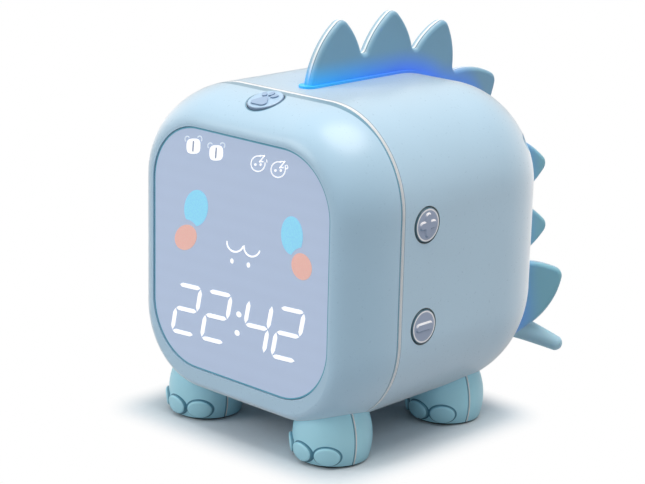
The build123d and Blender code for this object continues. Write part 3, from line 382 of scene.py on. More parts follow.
def moulding(tree, shader, where, colour, drift, grain, depth, rough):
    """Surface from a spark-eroded mould: a colour that drifts a little over about 25 mm, and an even
    grain that raises the surface and scatters its gloss. The real grain is too fine to show, so it is
    drawn coarser. drift is the share by which the colour darkens, grain and depth are in millimetres,
    rough is the range of roughness."""
    wide = add(tree, "TexNoise", {"Vector": where, "Scale": 1 / (25 * MM), "Detail": 2.0})
    fine = add(tree, "TexNoise", {"Vector": where, "Scale": 1 / (grain * MM), "Detail": 3.0})
    level = add(tree, "MapRange", (wide, 0.3, 0.7, 1 - drift, 1.0), interpolation_type="SMOOTHSTEP")
    shade = add(tree, "HueSaturation", {"Value": level, "Color": colour})
    gloss = add(tree, "MapRange", (fine, 0.3, 0.7, *rough))
    bump = add(tree, "Bump", {"Strength": 0.6, "Distance": depth * MM, "Height": fine})
    for key, socket in (("Base Color", shade), ("Roughness", gloss), ("Normal", bump)):
        tree.links.new(socket, shader.inputs[key])


def wear(material, *names):
    """Gives CAD nodes a material in place of their own."""
    for name in names:
        NODES[name].data.materials.clear()
        NODES[name].data.materials.append(material)


def plain(name, code, roughness, grain, depth=0.01, drift=0.08, ior=1.5, **sockets):
    """Moulded, plated or coated material in one colour with its own grain."""
    material, tree, shader, where = surface(name, roughness, ior, **sockets)
    spread, least = 0.06, 0.02
    rough = (max(roughness - spread, least), roughness + spread)
    colour = linear(code) if isinstance(code, str) else tuple(code)
    moulding(tree, shader, where, colour, drift, grain, depth, rough)
    return material


def root_distance(tree, where):
    """Metres outside the body: the body's back is an ellipse in Y and Z, so the distance is the
    ellipse's reading less one, times its half height."""
    run, rise, fall = 35 * MM, 38 * MM, 36 * MM
    _, y, z = add(tree, "SeparateXYZ", (where,), None).outputs
    back = add(tree, "MapRange", (y, BODY_BACK - run, BODY_BACK + run, 0.0, 2.0))
    above = add(tree, "MapRange", (z, BODY_TOP - rise, BODY_TOP + rise, 0.0, 2.0))
    below = add(tree, "MapRange", (z, BODY_LOW + fall, BODY_LOW - fall, 0.0, 2.0))
    reading = add(tree, "CombineXYZ", (back, above, below))
    reading = add(tree, "VectorMath", (reading,), "Value", operation="LENGTH")
    return add(tree, "MapRange", (reading, 1.0, 2.0, 0.0, rise))


def seen_directly(tree):
    """One for rays from the camera, from gloss and through glass, and nought for the light that falls
    on the clock."""
    path = add(tree, "LightPath", (), None).outputs
    seen = add(tree, "Math", (path["Is Camera Ray"], path["Is Glossy Ray"]), operation="MAXIMUM")
    return add(tree, "Math", (seen, path["Is Transmission Ray"]), operation="MAXIMUM")


def paw_distance(tree, where):
    """Distance from the line that the paw button moves along: the length of the cross product of
    the offset from a point on that line and its direction."""
    across = np.cross(PAW_AXIS, (1.0, 0.0, 0.0))
    reading = points_of("paw_button") @ across
    middle = across * (reading.min() + reading.max()) / 2
    off = add(tree, "VectorMath", (where, tuple(middle.tolist())), operation="SUBTRACT")
    off = add(tree, "VectorMath", (off, PAW_AXIS), operation="CROSS_PRODUCT")
    return add(tree, "VectorMath", (off,), "Value", operation="LENGTH")


def silicone(name, hue, base, normal, level, full, reach, bend):
    """Translucent cast silicone lit from its root. It scatters light inside, has a painted highlight on its
    thin rounded rim and on the parting line along it, with a painted shaded step beside that line, and glows
    blue where it meets the body. normal and level give the spike's own plane; the glow fades from full to
    reach, in millimetres off the body, and bend moves it: an axis, two places on it and the millimetres added
    from the first to the second."""
    soak = {"Subsurface_Weight": 0.2, "Subsurface_Scale": 2 * MM, "Subsurface_Radius": (0.5, 0.8, 1.0)}
    material, tree, shader, where = surface(name, 0.42, 1.41, **soak)
    smooth = {"interpolation_type": "SMOOTHSTEP"}
    read = add(tree, "VectorMath", (where, normal), "Value", operation="DOT_PRODUCT")
    side = add(tree, "Math", (read, level), operation="SUBTRACT")
    flat = add(tree, "Math", (side,), operation="ABSOLUTE")
    # Painted highlight on the thin rounded rim
    rim_core, rim_end, rim_share = 0.5 * MM, 1.8 * MM, 0.8
    rim = add(tree, "MapRange", (flat, rim_core, rim_end, rim_share, 0.0), **smooth)
    colour = add(tree, "Mix", {0: rim, 6: base, 7: hue.spike_rim_highlight}, 2, data_type="RGBA")
    # Painted shade of a step and a painted highlight on the parting line beside it, read across the rim
    for middle, half, code in ((0.62, 0.1, "#5F8299"), (0.1, 0.3, "#F3F8FB")):
        share = near(tree, side, middle * MM, half * MM, FADE * MM)
        colour = add(tree, "Mix", {0: share, 6: colour, 7: linear(code)}, 2, data_type="RGBA")
    axis, first, last, more = bend
    place = add(tree, "SeparateXYZ", (where,), axis)
    more = add(tree, "MapRange", (place, first, last, 0.0, more * MM), **smooth)
    distance = add(tree, "Math", (root_distance(tree, where), more), operation="ADD")
    light = add(tree, "MapRange", (distance, full * MM, reach * MM, 1.0, 0.0), **smooth)
    front_run, glow_share, glow_strength = 42 * MM, 0.95, 0.2
    y, start = add(tree, "SeparateXYZ", (where,), 1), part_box("crest")[0].y
    front = add(tree, "MapRange", (y, start, start + front_run, 1.0, 0.0), **smooth)
    shine = add(tree, "Mix", {0: front, 6: hue.glow, 7: hue.front_glow}, 2, data_type="RGBA")
    share = add(tree, "Math", (light, glow_share), operation="MULTIPLY")
    colour = add(tree, "Mix", {0: share, 6: colour, 7: shine}, 2, data_type="RGBA")
    moulding(tree, shader, where, colour, drift=0.05, grain=0.9, depth=0.01, rough=(0.38, 0.5))
    tree.links.new(shine, shader.inputs["Emission Color"])
    glow = add(tree, "Math", (light, glow_strength), operation="MULTIPLY")
    tree.links.new(glow, shader.inputs["Emission Strength"])
    return material


def lit(name, colour, strength):
    """Light through a printed film: an even glow with the fine dots of the diffuser behind it, 0.5 mm
    apart, and a little deeper in colour between them."""
    material, tree, shader, where = surface(name, 0.5, 1.49, Emission_Strength=strength)
    spacing, depth = 0.5 * MM, 0.94
    dots = add(tree, "TexVoronoi", {"Vector": where, "Scale": 1 / spacing})
    share = add(tree, "MapRange", (dots, 0.2, 0.7))
    deep = tuple(c * depth for c in colour)
    shade = add(tree, "Mix", {0: share, 6: colour, 7: deep}, 2, data_type="RGBA")
    for key in ("Base Color", "Emission Color"):
        tree.links.new(shade, shader.inputs[key])
    return material


# Operators

class CLOCK_OT_shells(bpy.types.Operator):
    """Finishes the two body shells in satin moulded plastic with painted shade and a painted highlight at the
    seam
    """

    bl_idname = "clock.shells"
    bl_label = "Body shells"

    def execute(self, context):
        hue = context.scene.clock_colours
        # Moulded ABS with a lightly eroded, soft-touch skin: broad soft highlights, and pale at a slant
        sheen = {"Sheen_Weight": 1.0, "Sheen_Roughness": 0.5}
        material, tree, shader, where = surface("Soft-touch ABS", 0.35, 1.53, **sheen)
        _, y, z = add(tree, "SeparateXYZ", (where,), None).outputs
        off = add(tree, "Math", (y, SEAM), operation="SUBTRACT")
        colour = hue.shell
        # The seam's painted lines of shade and highlight are broader along the top than down the sides, each
        # by its own share
        for middle, half, least, line in SEAM_LINES:
            narrow = add(tree, "MapRange", (z, BODY_TOP - SEAM_RISE * MM, BODY_TOP, 1.0, least))
            read = add(tree, "Math", (off, narrow), operation="MULTIPLY")
            share = near(tree, read, middle * MM, half * MM, FADE * MM)
            colour = add(tree, "Mix", {0: share, 6: colour, 7: getattr(hue, line)}, 2, data_type="RGBA")
        # A side button's hole gets a painted shade ring, drawn only on its own side, so the way across the
        # body is shortened, not left out
        across = 0.3
        for name in SIDE_BUTTONS:
            low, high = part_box(name + "_button")
            away = outside(tree, where, (low + high) / 2, (across, 1.0, 1.0))
            share = near(tree, away, *(v * MM for v in HOLE_LINE), FADE * MM)
            colour = add(tree, "Mix", {0: share, 6: colour, 7: hue.hole_shade}, 2, data_type="RGBA")
        # The paw button's hole gets a painted shade line, drawn only on the top
        top_start, top_full = BODY_TOP - 20 * MM, BODY_TOP - 19 * MM
        above = add(tree, "MapRange", (z, top_start, top_full))
        share = near(tree, paw_distance(tree, where), *(v * MM for v in PAW_HOLE_LINE), FADE * MM)
        share = add(tree, "Math", (share, above), operation="MULTIPLY")
        colour = add(tree, "Mix", {0: share, 6: colour, 7: hue.groove_shade}, 2, data_type="RGBA")
        moulding(tree, shader, where, colour, drift=0.03, grain=0.8, depth=0.012, rough=(0.27, 0.34))
        wear(material, "front_shell", "rear_shell")
        return {"FINISHED"}


class CLOCK_OT_screen(bpy.types.Operator):
    """Finishes the tinted screen and the sheets behind it"""

    bl_idname = "clock.screen"
    bl_label = "Screen"

    def execute(self, context):
        hue = context.scene.clock_colours
        # Tinted polycarbonate with a matt hard coat, lit from behind: an even soft glow, the faint lines of
        # the film behind it, and a painted teal shade line where it meets the bezel
        material, tree, shader, where = surface("Tinted polycarbonate", 0.4, 1.58, Emission_Strength=0.26)
        middle, half = (SCREEN_LOW + SCREEN_HIGH) / 2, (SCREEN_HIGH - SCREEN_LOW) / 2
        radius, edge_start, edge_full = 17.7 * MM, 0.45 * MM, 0.3 * MM
        away = outside(tree, where, middle, (1.0, 0.0, 1.0), (half.x - radius, 0.0, half.z - radius))
        edge = add(tree, "MapRange", (away, radius - edge_start, radius - edge_full))
        # A wave turns 20 radians to the metre at a scale of one; a radian in 0.8 mm puts the lines
        # about 5 mm apart, coarser than the film's own, which are too fine to show
        radians, run = 20, 0.8 * MM
        lines = {"Vector": where, "Scale": 1 / (radians * run)}
        lines = add(tree, "TexWave", lines, 1, bands_direction="Z")
        level = add(tree, "MapRange", (lines, 0.0, 1.0, 0.985, 1.0))
        shade = add(tree, "HueSaturation", {"Value": level, "Color": hue.screen})
        shade = add(tree, "Mix", {0: edge, 6: shade, 7: hue.screen_edge_shade}, 2, data_type="RGBA")
        for key in ("Base Color", "Emission Color"):
            tree.links.new(shade, shader.inputs[key])
        # Grit of the hard coat, drawn coarser for the same reason
        grit = 0.9 * MM
        dots = add(tree, "TexVoronoi", {"Vector": where, "Scale": 1 / grit})
        gloss = add(tree, "MapRange", (dots, 0.1, 0.7, 0.36, 0.46))
        tree.links.new(gloss, shader.inputs["Roughness"])
        wear(material, "display_window")
        # Frosted sheet that spreads the lamps' light: milky and dull. Mask round each lamp: an even white
        wear(plain("Frosted polycarbonate", "#EEF1F5", 0.6, grain=0.5, ior=1.58), "diffuser_sheet")
        wear(plain("White moulded ABS", "#EDEDEA", 0.5, grain=0.7, ior=1.53), "display_mask")
        return {"FINISHED"}


class CLOCK_OT_digits(bpy.types.Operator):
    """Lays the lit digits and the colon on the screen"""

    bl_idname = "clock.digits"
    bl_label = "Digits"

    def execute(self, context):
        size, hue = context.scene.clock_display, context.scene.clock_colours
        # Seven bars of a digit: middle in shares of its reach and rise, and whether it stands
        bars = {"a": (0, 1, 0), "g": (0, 0, 0), "d": (0, -1, 0), "f": (-1, 0.5, 1), "b": (1, 0.5, 1),
                "e": (-1, -0.5, 1), "c": (1, -0.5, 1)}
        lean, gap = math.tan(math.radians(DIGIT_LEAN)), BAR_GAP * MM
        half = np.array((size.digit_reach, size.digit_rise))
        grids = []
        for middle, lit_bars in DIGITS:
            for key in lit_bars:
                x, z, stands = bars[key]
                run = (half[1] / 2 if stands else half[0]) - gap
                rim = bar(run, size.upright_thickness if stands else size.bar_thickness)
                rim = (rim[:, ::-1] if stands else rim) + half * (x, z)
                rim[:, 0] += rim[:, 1] * lean
                rim = climb(rim + (middle * MM, size.digit_level), 0.0, DIGIT_CLIMB)
                grids.append(plate(rim, size.film))
        for place in COLON:
            dot = oval(*place, *COLON_DOT, steps=40) + (0, size.digit_level)
            grids.append(plate(dot, size.film))
        # White light through the film, bright enough to read as plain white
        piece("lit_digits", grids, lit("Lit film, white", hue.digit, 0.5))
        return {"FINISHED"}


class CLOCK_OT_face(bpy.types.Operator):
    """Lays the lit eyes, cheeks, mouth and nostrils on the screen"""

    bl_idname = "clock.face"
    bl_label = "Face"

    def execute(self, context):
        size, hue = context.scene.clock_display, context.scene.clock_colours
        film = size.film
        rims = [bitten(eye, cheek, size.cheek_gap / MM) for eye, cheek in zip(EYES, CHEEKS)]
        # Coloured films over the lamps: an even sky blue and an even salmon
        blue, salmon = lit("Lit film, sky blue", hue.eye, 0.35), lit("Lit film, salmon", hue.cheek, 0.35)
        piece("lit_eyes", [plate(rim, film) for rim in rims], blue)
        rims = [climb(oval(*cheek), cheek[0] * MM) for cheek in CHEEKS]
        piece("lit_cheeks", [plate(rim, film) for rim in rims], salmon)
        bows = [climb(arc(*place, *BOW_SPAN), place[0] * MM) for place in BOWS]
        grids = [stroke(path, size.line, film) for path in bows]
        grids += [plate(oval(*place, *NOSTRIL, steps=32), film) for place in NOSTRILS]
        piece("lit_mouth", grids, bpy.data.materials["Lit film, white"])
        return {"FINISHED"}


class CLOCK_OT_icons(bpy.types.Operator):
    """Lays the two alarm icons and the two snooze icons on the screen"""

    bl_idname = "clock.icons"
    bl_label = "Icons"

    def execute(self, context):
        size = context.scene.clock_display
        film, line = size.film, size.line
        white = bpy.data.materials["Lit film, white"]
        bells, ears, slots, rings = [], [], [], []
        for x, z, wide, high in ALARMS:
            bells.append(plate(climb(oval(x, z, wide, high, power=3.0), x * MM), film))
            hand = np.linspace(*(np.array(HAND) + (x, z)), 5) * MM
            slots.append(stroke(hand, HAND_WIDTH * MM, film / 2, film))
            for side in (-1, 1):
                place = (x + side * wide * EAR_PLACE[0], z + high * EAR_PLACE[1])
                ear = arc(*place, *EAR, *(90 + side * turn for turn in EAR_SPAN))
                ears.append(stroke(climb(ear, x * MM), EAR_WIDTH * MM, film))
        piece("alarm_icons", bells, white)
        # The ears are dim, as over lamps turned low behind the film
        piece("alarm_icon_ears", ears, lit("Lit film, faint", linear("#D6E1F0"), 0.4))
        # Ink printed on the film: dull and even
        piece("alarm_icon_hands", slots, plain("Printed grey ink", "#BCC8DF", 0.5, grain=0.4))
        moon_line, mark_line = 0.6 * line, 0.5 * line
        for x, z in SNOOZES:
            letter = (np.array(LETTER) + (x, z)) * MM
            paths = [arc(x, z, *MOON), *(np.linspace(a, b, 8) for a, b in zip(letter, letter[1:]))]
            rings += [stroke(climb(path, x * MM), moon_line, film) for path in paths]
            dots = [oval(x + side, z - MOON_EYE_DROP, *MOON_EYE, steps=28) for side in (-1, 1)]
            rings += [plate(climb(dot, x * MM), film) for dot in dots]
        # A short dash beside the first snooze icon and a small ring beside the second
        first, second = np.array(SNOOZES)
        dash = np.linspace(*(np.array(DASH) + first), 5) * MM
        ring = arc(*(second + RING[:2]), *RING[2:], 24)
        rings += [stroke(path, mark_line, film) for path in (dash, ring)]
        piece("snooze_icons", rings, white)
        return {"FINISHED"}


class CLOCK_OT_buttons(bpy.types.Operator):
    """Finishes the side buttons, the paw button and the switches under them"""

    bl_idname = "clock.buttons"
    bl_label = "Buttons"

    def execute(self, context):
        hue = context.scene.clock_colours
        smooth = {"interpolation_type": "SMOOTHSTEP"}
        cap_skin = {"drift": 0.04, "grain": 0.7, "depth": 0.01, "rough": (0.32, 0.42)}
        # Directions of the bars of the raised signs
        arms = {"plus": (0, math.pi / 2), "minus": (0,)}
        for name in SIDE_BUTTONS:
            # Moulded ABS caps with a fine even skin, a painted highlight on the rounded rim and painted shade
            # at the edge
            material, tree, shader, where = surface("Moulded ABS, lavender, " + name, 0.36, 1.53)
            low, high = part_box(name + "_button")
            away = outside(tree, where, (low + high) / 2, (0.0, 1.0, 1.0))
            rim = near(tree, away, *(v * MM for v in CAP_RIM), FADE * MM)
            edge = add(tree, "MapRange", (away, *(v * MM for v in CAP_EDGE)))
            colour = add(tree, "Mix", {0: rim, 6: hue.side_button, 7: hue.button_highlight}, 2, data_type="RGBA")
            colour = add(tree, "Mix", {0: edge, 6: colour, 7: hue.hole_shade}, 2, data_type="RGBA")
            moulding(tree, shader, where, colour, **cap_skin)
            wear(material, name + "_button")
            if name not in arms:
                continue
            # Bevel round the raised sign: a sloping skirt from its top edge down to the cap, with a painted
            # highlight where it faces up and painted shade where it faces down
            slope, tree, shader, where = surface("Moulded ABS, polished bevel, " + name, 0.3, 1.53)
            faced = add(tree, "SeparateXYZ", (add(tree, "NewGeometry", out="Normal"),), 2)
            up, down = (0.1, 0.55), (-0.1, -0.5)
            pale = add(tree, "MapRange", (faced, *up), **smooth)
            dull = add(tree, "MapRange", (faced, *down), **smooth)
            colour = add(tree, "Mix", {0: pale, 6: hue.side_button, 7: hue.button_highlight}, 2, data_type="RGBA")
            colour = add(tree, "Mix", {0: dull, 6: colour, 7: hue.edge_shade}, 2, data_type="RGBA")
            moulding(tree, shader, where, colour, drift=0.04, grain=0.7, depth=0.01, rough=(0.26, 0.34))
            crown, foot, middle = high.x, high.x - SIGN_RISE * MM, (low + high) / 2
            rows = []
            for grow, level in ((0.0, crown), (SIGN_SKIRT, foot), (0.0, foot)):
                turn, reach = crossed(arms[name], (SIGN + grow) * MM, (SIGN_BAR + grow) * MM)
                y, z = middle.y + reach * np.cos(turn), middle.z + reach * np.sin(turn)
                rows.append(np.stack((np.full(len(turn), level), y, z), 1))
            piece(name + "_sign_bevel", [(np.stack(rows), True)], slope, name)
        # The paw button's sign is a shade darker than its cap, with painted shade on its walls and on the
        # cap's edge
        material, tree, shader, where = surface("Moulded ABS, ice blue", 0.36, 1.53)
        press = add(tree, "VectorMath", (where, PAW_AXIS), "Value", operation="DOT_PRODUCT")
        crown = float((points_of("paw_button") @ np.array(PAW_AXIS)).min())
        sign_full, sign_end = crown + 0.01 * MM, crown + 0.06 * MM
        wall_level, wall_half, wall_fade = crown + 0.2 * MM, 0.15 * MM, 0.03 * MM
        sign = add(tree, "MapRange", (press, sign_full, sign_end, 1.0, 0.0))
        wall = near(tree, press, wall_level, wall_half, wall_fade)
        edge = add(tree, "MapRange", (paw_distance(tree, where), *(v * MM for v in PAW_EDGE)))
        colour = add(tree, "Mix", {0: sign, 6: hue.paw_button, 7: hue.paw_sign}, 2, data_type="RGBA")
        for share in (wall, edge):
            colour = add(tree, "Mix", {0: share, 6: colour, 7: hue.edge_shade}, 2, data_type="RGBA")
        moulding(tree, shader, where, colour, **cap_skin)
        wear(material, "paw_button")
        # Black moulded nylon: a dull shine. Tin-plated cans: a soft grey mirror
        wear(plain("Black nylon", "#1B1C1E", 0.45, grain=0.5), *(n for n in NODES if n.endswith("_plunger")))
        tin = plain("Tin-plated steel", "#C9CACC", 0.35, grain=0.6, depth=0.004, drift=0.1, Metallic=1.0)
        wear(tin, "paw_switch", "left_switches", "right_switches")
        return {"FINISHED"}


class CLOCK_OT_spikes(bpy.types.Operator):
    """Finishes the crest, the back spikes and the tail's spike in lit silicone"""

    bl_idname = "clock.spikes"
    bl_label = "Spikes"

    def execute(self, context):
        hue = context.scene.clock_colours
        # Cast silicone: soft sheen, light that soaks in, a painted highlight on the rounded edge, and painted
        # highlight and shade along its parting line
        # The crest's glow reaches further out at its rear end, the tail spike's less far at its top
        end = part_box("crest")[1].y
        bend, plane = (1, end - 28 * MM, end - 8 * MM, -7.0), ((1.0, 0.0, 0.0), 0.0)
        crest = silicone("Cast silicone, crest", hue, hue.spike, *plane, full=0.0, reach=8.0, bend=bend)
        wear(crest, "crest")
        low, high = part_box("tail_spike")
        straight, bent = (2, 0.0, 1.0, 0.0), (2, low.z, high.z, 9.0)
        glows = (("back_spikes", 5.0, 20.0, straight), ("tail_spike", 12.0, 23.0, bent))
        for name, full, reach, bend in glows:
            # The spike's own plane: the thinnest way through its points gives the plane's normal
            points = points_of(name)
            middle = points.mean(0)
            normal = np.linalg.svd(points - middle, full_matrices=False)[2][2]
            normal = normal * np.sign(normal[0])
            label = "Cast silicone, " + name.replace("_", " ")
            plane = tuple(normal.tolist()), float(normal @ middle)
            wear(silicone(label, hue, hue.back_spike, *plane, full, reach, bend), name)
        return {"FINISHED"}


class CLOCK_OT_tail(bpy.types.Operator):
    """Finishes the tail in soft matt silicone"""

    bl_idname = "clock.tail"
    bl_label = "Tail"

    def execute(self, context):
        hue = context.scene.clock_colours
        # Solid cast silicone with a dusted matt skin: no gloss, and light that soaks in a little
        soak = {"Subsurface_Weight": 0.1, "Subsurface_Scale": 2 * MM}
        skin = {"grain": 0.9, "depth": 0.012, "drift": 0.06, "ior": 1.41}
        wear(plain("Matt silicone", hue.tail, 0.55, **skin, **soak), "tail")
        return {"FINISHED"}


class CLOCK_OT_feet(bpy.types.Operator):
    """Finishes the feet and the rubber pads under them"""

    bl_idname = "clock.feet"
    bl_label = "Feet"

    def execute(self, context):
        hue = context.scene.clock_colours
        # Black moulded rubber: dull, with a fine grain
        pad = plain("Black rubber", "#23292D", 0.75, grain=0.6, depth=0.02, drift=0.2)
        # From the foot's middle: where its halves meet, a toe's half sizes and level, and where the
        # groove round a toe begins
        split, toe_wide, toe_high, toe_level = -1.0 * MM, 3.7 * MM, 2.7 * MM, 3.7 * MM
        groove_start, groove_full = 4 * MM, 5 * MM
        for place in FEET:
            # Moulded ABS halves, with a painted highlight and a painted shade line where they meet and
            # painted shade in the groove round each toe
            label = "Moulded ABS, teal, " + place.replace("_", " ")
            material, tree, shader, where = surface(label, 0.42, 1.53)
            low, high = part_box(place + "_pad")
            middle = (low + high) / 2
            colour = hue.foot
            for toe in (-TOE_TURN, 0.0, TOE_TURN):
                inputs = {"Vector": where, "Center": tuple(middle), "Angle": -FOOT_AIM - toe}
                turned = add(tree, "VectorRotate", inputs, rotation_type="Z_AXIS")
                away = outside(tree, turned, (middle.x, 0.0, toe_level), (1 / toe_wide, 0.0, 1 / toe_high))
                y = add(tree, "SeparateXYZ", (turned,), 1)
                front = add(tree, "MapRange", (y, middle.y - groove_start, middle.y - groove_full))
                # In shares of the toe's size: the painted shade of the groove lies just outside it
                groove_shade = near(tree, away, 1.06, 0.04, 0.06)
                share = add(tree, "Math", (groove_shade, front), operation="MULTIPLY")
                colour = add(tree, "Mix", {0: share, 6: colour, 7: hue.foot_crease_shade}, 2, data_type="RGBA")
            inputs = {"Vector": where, "Center": tuple(middle), "Angle": -FOOT_AIM}
            turned = add(tree, "VectorRotate", inputs, rotation_type="Z_AXIS")
            y = add(tree, "SeparateXYZ", (turned,), 1)
            for offset, half, line in FOOT_LINES:
                share = near(tree, y, middle.y + split + offset * MM, half * MM, FADE * MM)
                colour = add(tree, "Mix", {0: share, 6: colour, 7: getattr(hue, line)}, 2, data_type="RGBA")
            moulding(tree, shader, where, colour, drift=0.05, grain=0.8, depth=0.012, rough=(0.36, 0.48))
            wear(material, place + "_toes", place + "_heel")
            wear(pad, place + "_pad")
        return {"FINISHED"}


class CLOCK_OT_inside(bpy.types.Operator):
    """Finishes the boards, lamps, speaker, battery, socket and screws inside"""

    bl_idname = "clock.inside"
    bl_label = "Inside"

    def execute(self, context):
        # Green solder mask over glass epoxy: a soft shine, and tracks as a fine paler network
        material, tree, shader, where = surface("Green solder mask", 0.35, 1.5)
        mesh_size, dark, pale = 3 * MM, linear("#14533A"), linear("#23704F")
        cells = {"Vector": where, "Scale": 1 / mesh_size}
        cells = add(tree, "TexVoronoi", cells, feature="DISTANCE_TO_EDGE")
        track = add(tree, "MapRange", (cells, 0.04, 0.09, 1.0, 0.0))
        colour = add(tree, "Mix", {0: track, 6: dark, 7: pale}, 2, data_type="RGBA")
        moulding(tree, shader, where, colour, drift=0.1, grain=0.5, depth=0.006, rough=(0.28, 0.4))
        wear(material, *(n for n in NODES if n.endswith("_board")))
        # Bought parts in their plain finish: name, colour, roughness, grain, relief and drift, and the nodes
        dull = (
            # Cast epoxy, dull black on the chips and glassy on the lamps
            ("Black epoxy", "#17181A", 0.5, 0.4, 0.01, 0.08, ("main_chips",)),
            ("Clear epoxy lens", "#F2EFD9", 0.2, 0.6, 0.003, 0.08, ("display_leds", "crest_leds")),
            # Foam and pressed pulp: no gloss, and a coarse skin
            ("Closed-cell foam", "#1D1E1F", 0.85, 0.5, 0.05, 0.08, ("speaker_gasket",)),
            ("Paper pulp", "#222325", 0.8, 0.8, 0.04, 0.08, ("speaker_cone",)),
        )
        bright = (
            # Foil with soft dents, and plated or brushed metal with a greyed mirror
            ("Aluminium pouch foil", "#BFC3C9", 0.4, 1.2, 0.03, 0.1, ("battery_cell",)),
            ("Nickel-plated ferrite", "#8B8B8C", 0.4, 0.7, 0.01, 0.1, ("speaker_magnet",)),
            ("Zinc-plated steel", "#B9BABD", 0.38, 0.6, 0.006, 0.12,
             ("speaker_basket", "shell_screws", "board_screws", "foot_screws", "tail_screw")),
            ("Brushed stainless steel", "#C4C5C7", 0.3, 0.5, 0.004, 0.08, ("charging_socket",)),
        )
        for finishes, sockets in ((dull, {}), (bright, {"Metallic": 1.0})):
            for *finish, nodes in finishes:
                wear(plain(*finish, **sockets), *nodes)
        # Moulded ABS in black, as on the shells but without their soft skin
        wear(plain("Black moulded ABS", "#2B2E31", 0.5, grain=0.7, ior=1.53), "battery_cradle")
        return {"FINISHED"}


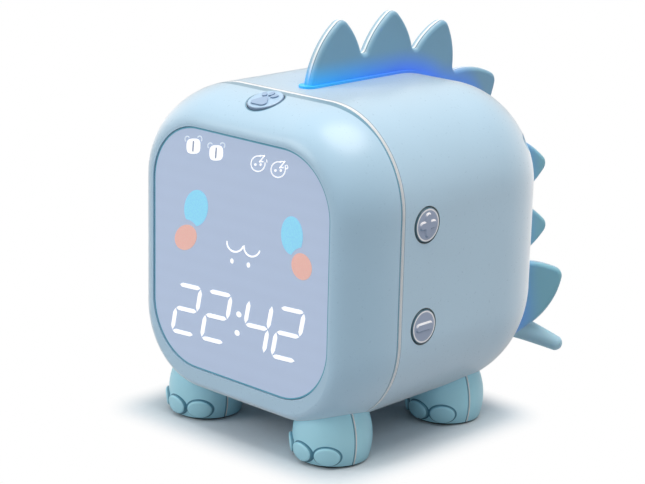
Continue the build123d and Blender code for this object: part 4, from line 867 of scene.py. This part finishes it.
class CLOCK_OT_stage(bpy.types.Operator):
    """Sets a white floor, tinted as painted shadow near the feet, soft light from above and the camera of the
    product view
    """

    bl_idname = "clock.stage"
    bl_label = "Stage"

    def execute(self, context):
        scene = context.scene
        scene.view_settings.view_transform = "Standard"
        # Floor: a grid of points 8 m across, just below the pads
        half_floor, cells, drop = 4, 8, 0.05 * MM
        run = np.linspace(-half_floor, half_floor, cells + 1)
        spot = np.stack(np.meshgrid(run, run, indexing="ij"), -1).reshape(-1, 2)
        points = np.column_stack((spot, np.full(len(spot), -drop)))
        row, column = np.meshgrid(np.arange(cells), np.arange(cells), indexing="ij")
        step = cells + 1
        corner = (row * step + column)[..., None] + np.array((0, step, step + 1, 1))
        mesh = bpy.data.meshes.new("floor")
        mesh.from_pydata(points, [], corner.reshape(-1, 4).tolist())
        floor = bpy.data.objects.new("floor", mesh)
        scene.collection.objects.link(floor)
        # Uncoated paper: dull and faintly fibrous, painted a pale blue grey near the feet as painted shadow
        # that deepens the real shadow there, and plain white further out; it throws back a little less light
        # than it shows, and its fibres are drawn coarser than they are
        material, tree, shader, where = surface("Paper with painted shadow tint", 0.8, 1.45, Specular_IOR_Level=0.1)
        fibre_size, shade, pale, bounce = 2 * MM, "#DDE5EA", "#E3EBF0", "#B2B6BA"
        fade_start, fade_end = 3 * MM, 17 * MM
        seen = seen_directly(tree)
        fibre = add(tree, "TexNoise", {"Vector": where, "Scale": 1 / fibre_size, "Detail": 3.0})
        paper = add(tree, "Mix", {0: fibre, 6: linear(shade), 7: linear(pale)}, 2, data_type="RGBA")
        paper = add(tree, "Mix", {0: seen, 6: linear(bounce), 7: paper}, 2, data_type="RGBA")
        tree.links.new(paper, shader.inputs["Base Color"])
        low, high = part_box("front_left_pad")[0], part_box("rear_right_pad")[1]
        middle, half = (low + high) / 2, (high - low) / 2
        away = outside(tree, where, middle, (1.0, 1.0, 0.0), (half.x, half.y, 0.0))
        far = add(tree, "MapRange", (away, fade_start, fade_end), interpolation_type="SMOOTHSTEP")
        share = add(tree, "Math", (seen, far), operation="MULTIPLY")
        white = add(tree, "Emission", {"Color": (1.0, 1.0, 1.0), "Strength": 1.0})
        both = add(tree, "MixShader", (share, shader.outputs[0], white))
        output = next(n for n in tree.nodes if n.type == "OUTPUT_MATERIAL")
        tree.links.new(both, output.inputs["Surface"])
        mesh.materials.append(material)
        # World: soft light, strongest overhead, and white where the camera, gloss or glass sees past
        # the floor
        world = bpy.data.worlds.new("Soft studio")
        scene.world = world
        world.use_nodes = True
        tree = world.node_tree
        tree.nodes.clear()
        seen = seen_directly(tree)
        rise = add(tree, "SeparateXYZ", (add(tree, "TexCoord", out="Generated"),), 2)
        dome = add(tree, "MapRange", (rise, 0.15, 1.0, 0.05, 0.95))
        level = add(tree, "MapRange", (seen, 0.0, 1.0, dome, 1.0))
        sky = add(tree, "Background", {"Color": (1.0, 1.0, 1.0), "Strength": level})
        add(tree, "OutputWorld", {"Surface": sky}, None)
        for name, place, size, power, tone in LAMPS:
            lamp = bpy.data.lights.new(name, "AREA")
            lamp.shape, lamp.size, lamp.energy, lamp.color = "DISK", size, power, linear(tone)
            holder = bpy.data.objects.new(name, lamp)
            turn = (LAMP_AIM - Vector(place)).to_track_quat("-Z", "Y").to_matrix().to_4x4()
            holder.matrix_world = Matrix.Translation(place) @ turn
            scene.collection.objects.link(holder)
        # Camera: its axes from the three angles, then its place back from the point it looks at
        level = math.cos(PITCH)
        back = Vector((math.sin(YAW) * level, -math.cos(YAW) * level, math.sin(PITCH)))
        flat = Vector((math.cos(YAW), math.sin(YAW), 0))
        rise = back.cross(flat)
        right = flat * math.cos(ROLL) + rise * math.sin(ROLL)
        up = rise * math.cos(ROLL) - flat * math.sin(ROLL)
        view = bpy.data.cameras.new("camera")
        view.sensor_fit, view.sensor_width = "HORIZONTAL", SENSOR
        view.lens = FOCAL * SENSOR / IMAGE_WIDTH
        view.clip_start, view.clip_end = 0.01, 50.0
        camera = bpy.data.objects.new("camera", view)
        scene.collection.objects.link(camera)
        turn = Matrix((right, up, back)).transposed().to_4x4()
        camera.matrix_world = Matrix.Translation(TARGET + back * DISTANCE) @ turn
        scene.camera = camera
        return {"FINISHED"}


class CLOCK_PT_panel(bpy.types.Panel):
    """Lists the clock's pieces, colours and display sizes"""

    bl_idname = "CLOCK_PT_panel"
    bl_label = "Bedside clock"
    bl_space_type = "VIEW_3D"
    bl_region_type = "UI"
    bl_category = "Clock"

    def draw(self, context):
        for operator in OPERATORS:
            self.layout.operator(operator.bl_idname)
        for group in (context.scene.clock_colours, context.scene.clock_display):
            for key in group.bl_rna.properties.keys():
                if key not in ("rna_type", "name"):
                    self.layout.prop(group, key)


OPERATORS = (
    CLOCK_OT_stage, CLOCK_OT_shells, CLOCK_OT_screen, CLOCK_OT_digits, CLOCK_OT_face, CLOCK_OT_icons,
    CLOCK_OT_buttons, CLOCK_OT_spikes, CLOCK_OT_tail, CLOCK_OT_feet, CLOCK_OT_inside,
)
GROUPS = (ClockColours, ClockDisplay)


def register():
    for kind in GROUPS + OPERATORS + (CLOCK_PT_panel,):
        bpy.utils.register_class(kind)
    bpy.types.Scene.clock_colours = bpy.props.PointerProperty(type=ClockColours)
    bpy.types.Scene.clock_display = bpy.props.PointerProperty(type=ClockDisplay)


def unregister():
    del bpy.types.Scene.clock_display
    del bpy.types.Scene.clock_colours
    for kind in reversed(GROUPS + OPERATORS + (CLOCK_PT_panel,)):
        bpy.utils.unregister_class(kind)


def main():
    """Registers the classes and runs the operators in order."""
    register()
    for operator in OPERATORS:
        group, name = operator.bl_idname.split(".")
        getattr(getattr(bpy.ops, group), name)()


if __name__ == "__main__":
    main()
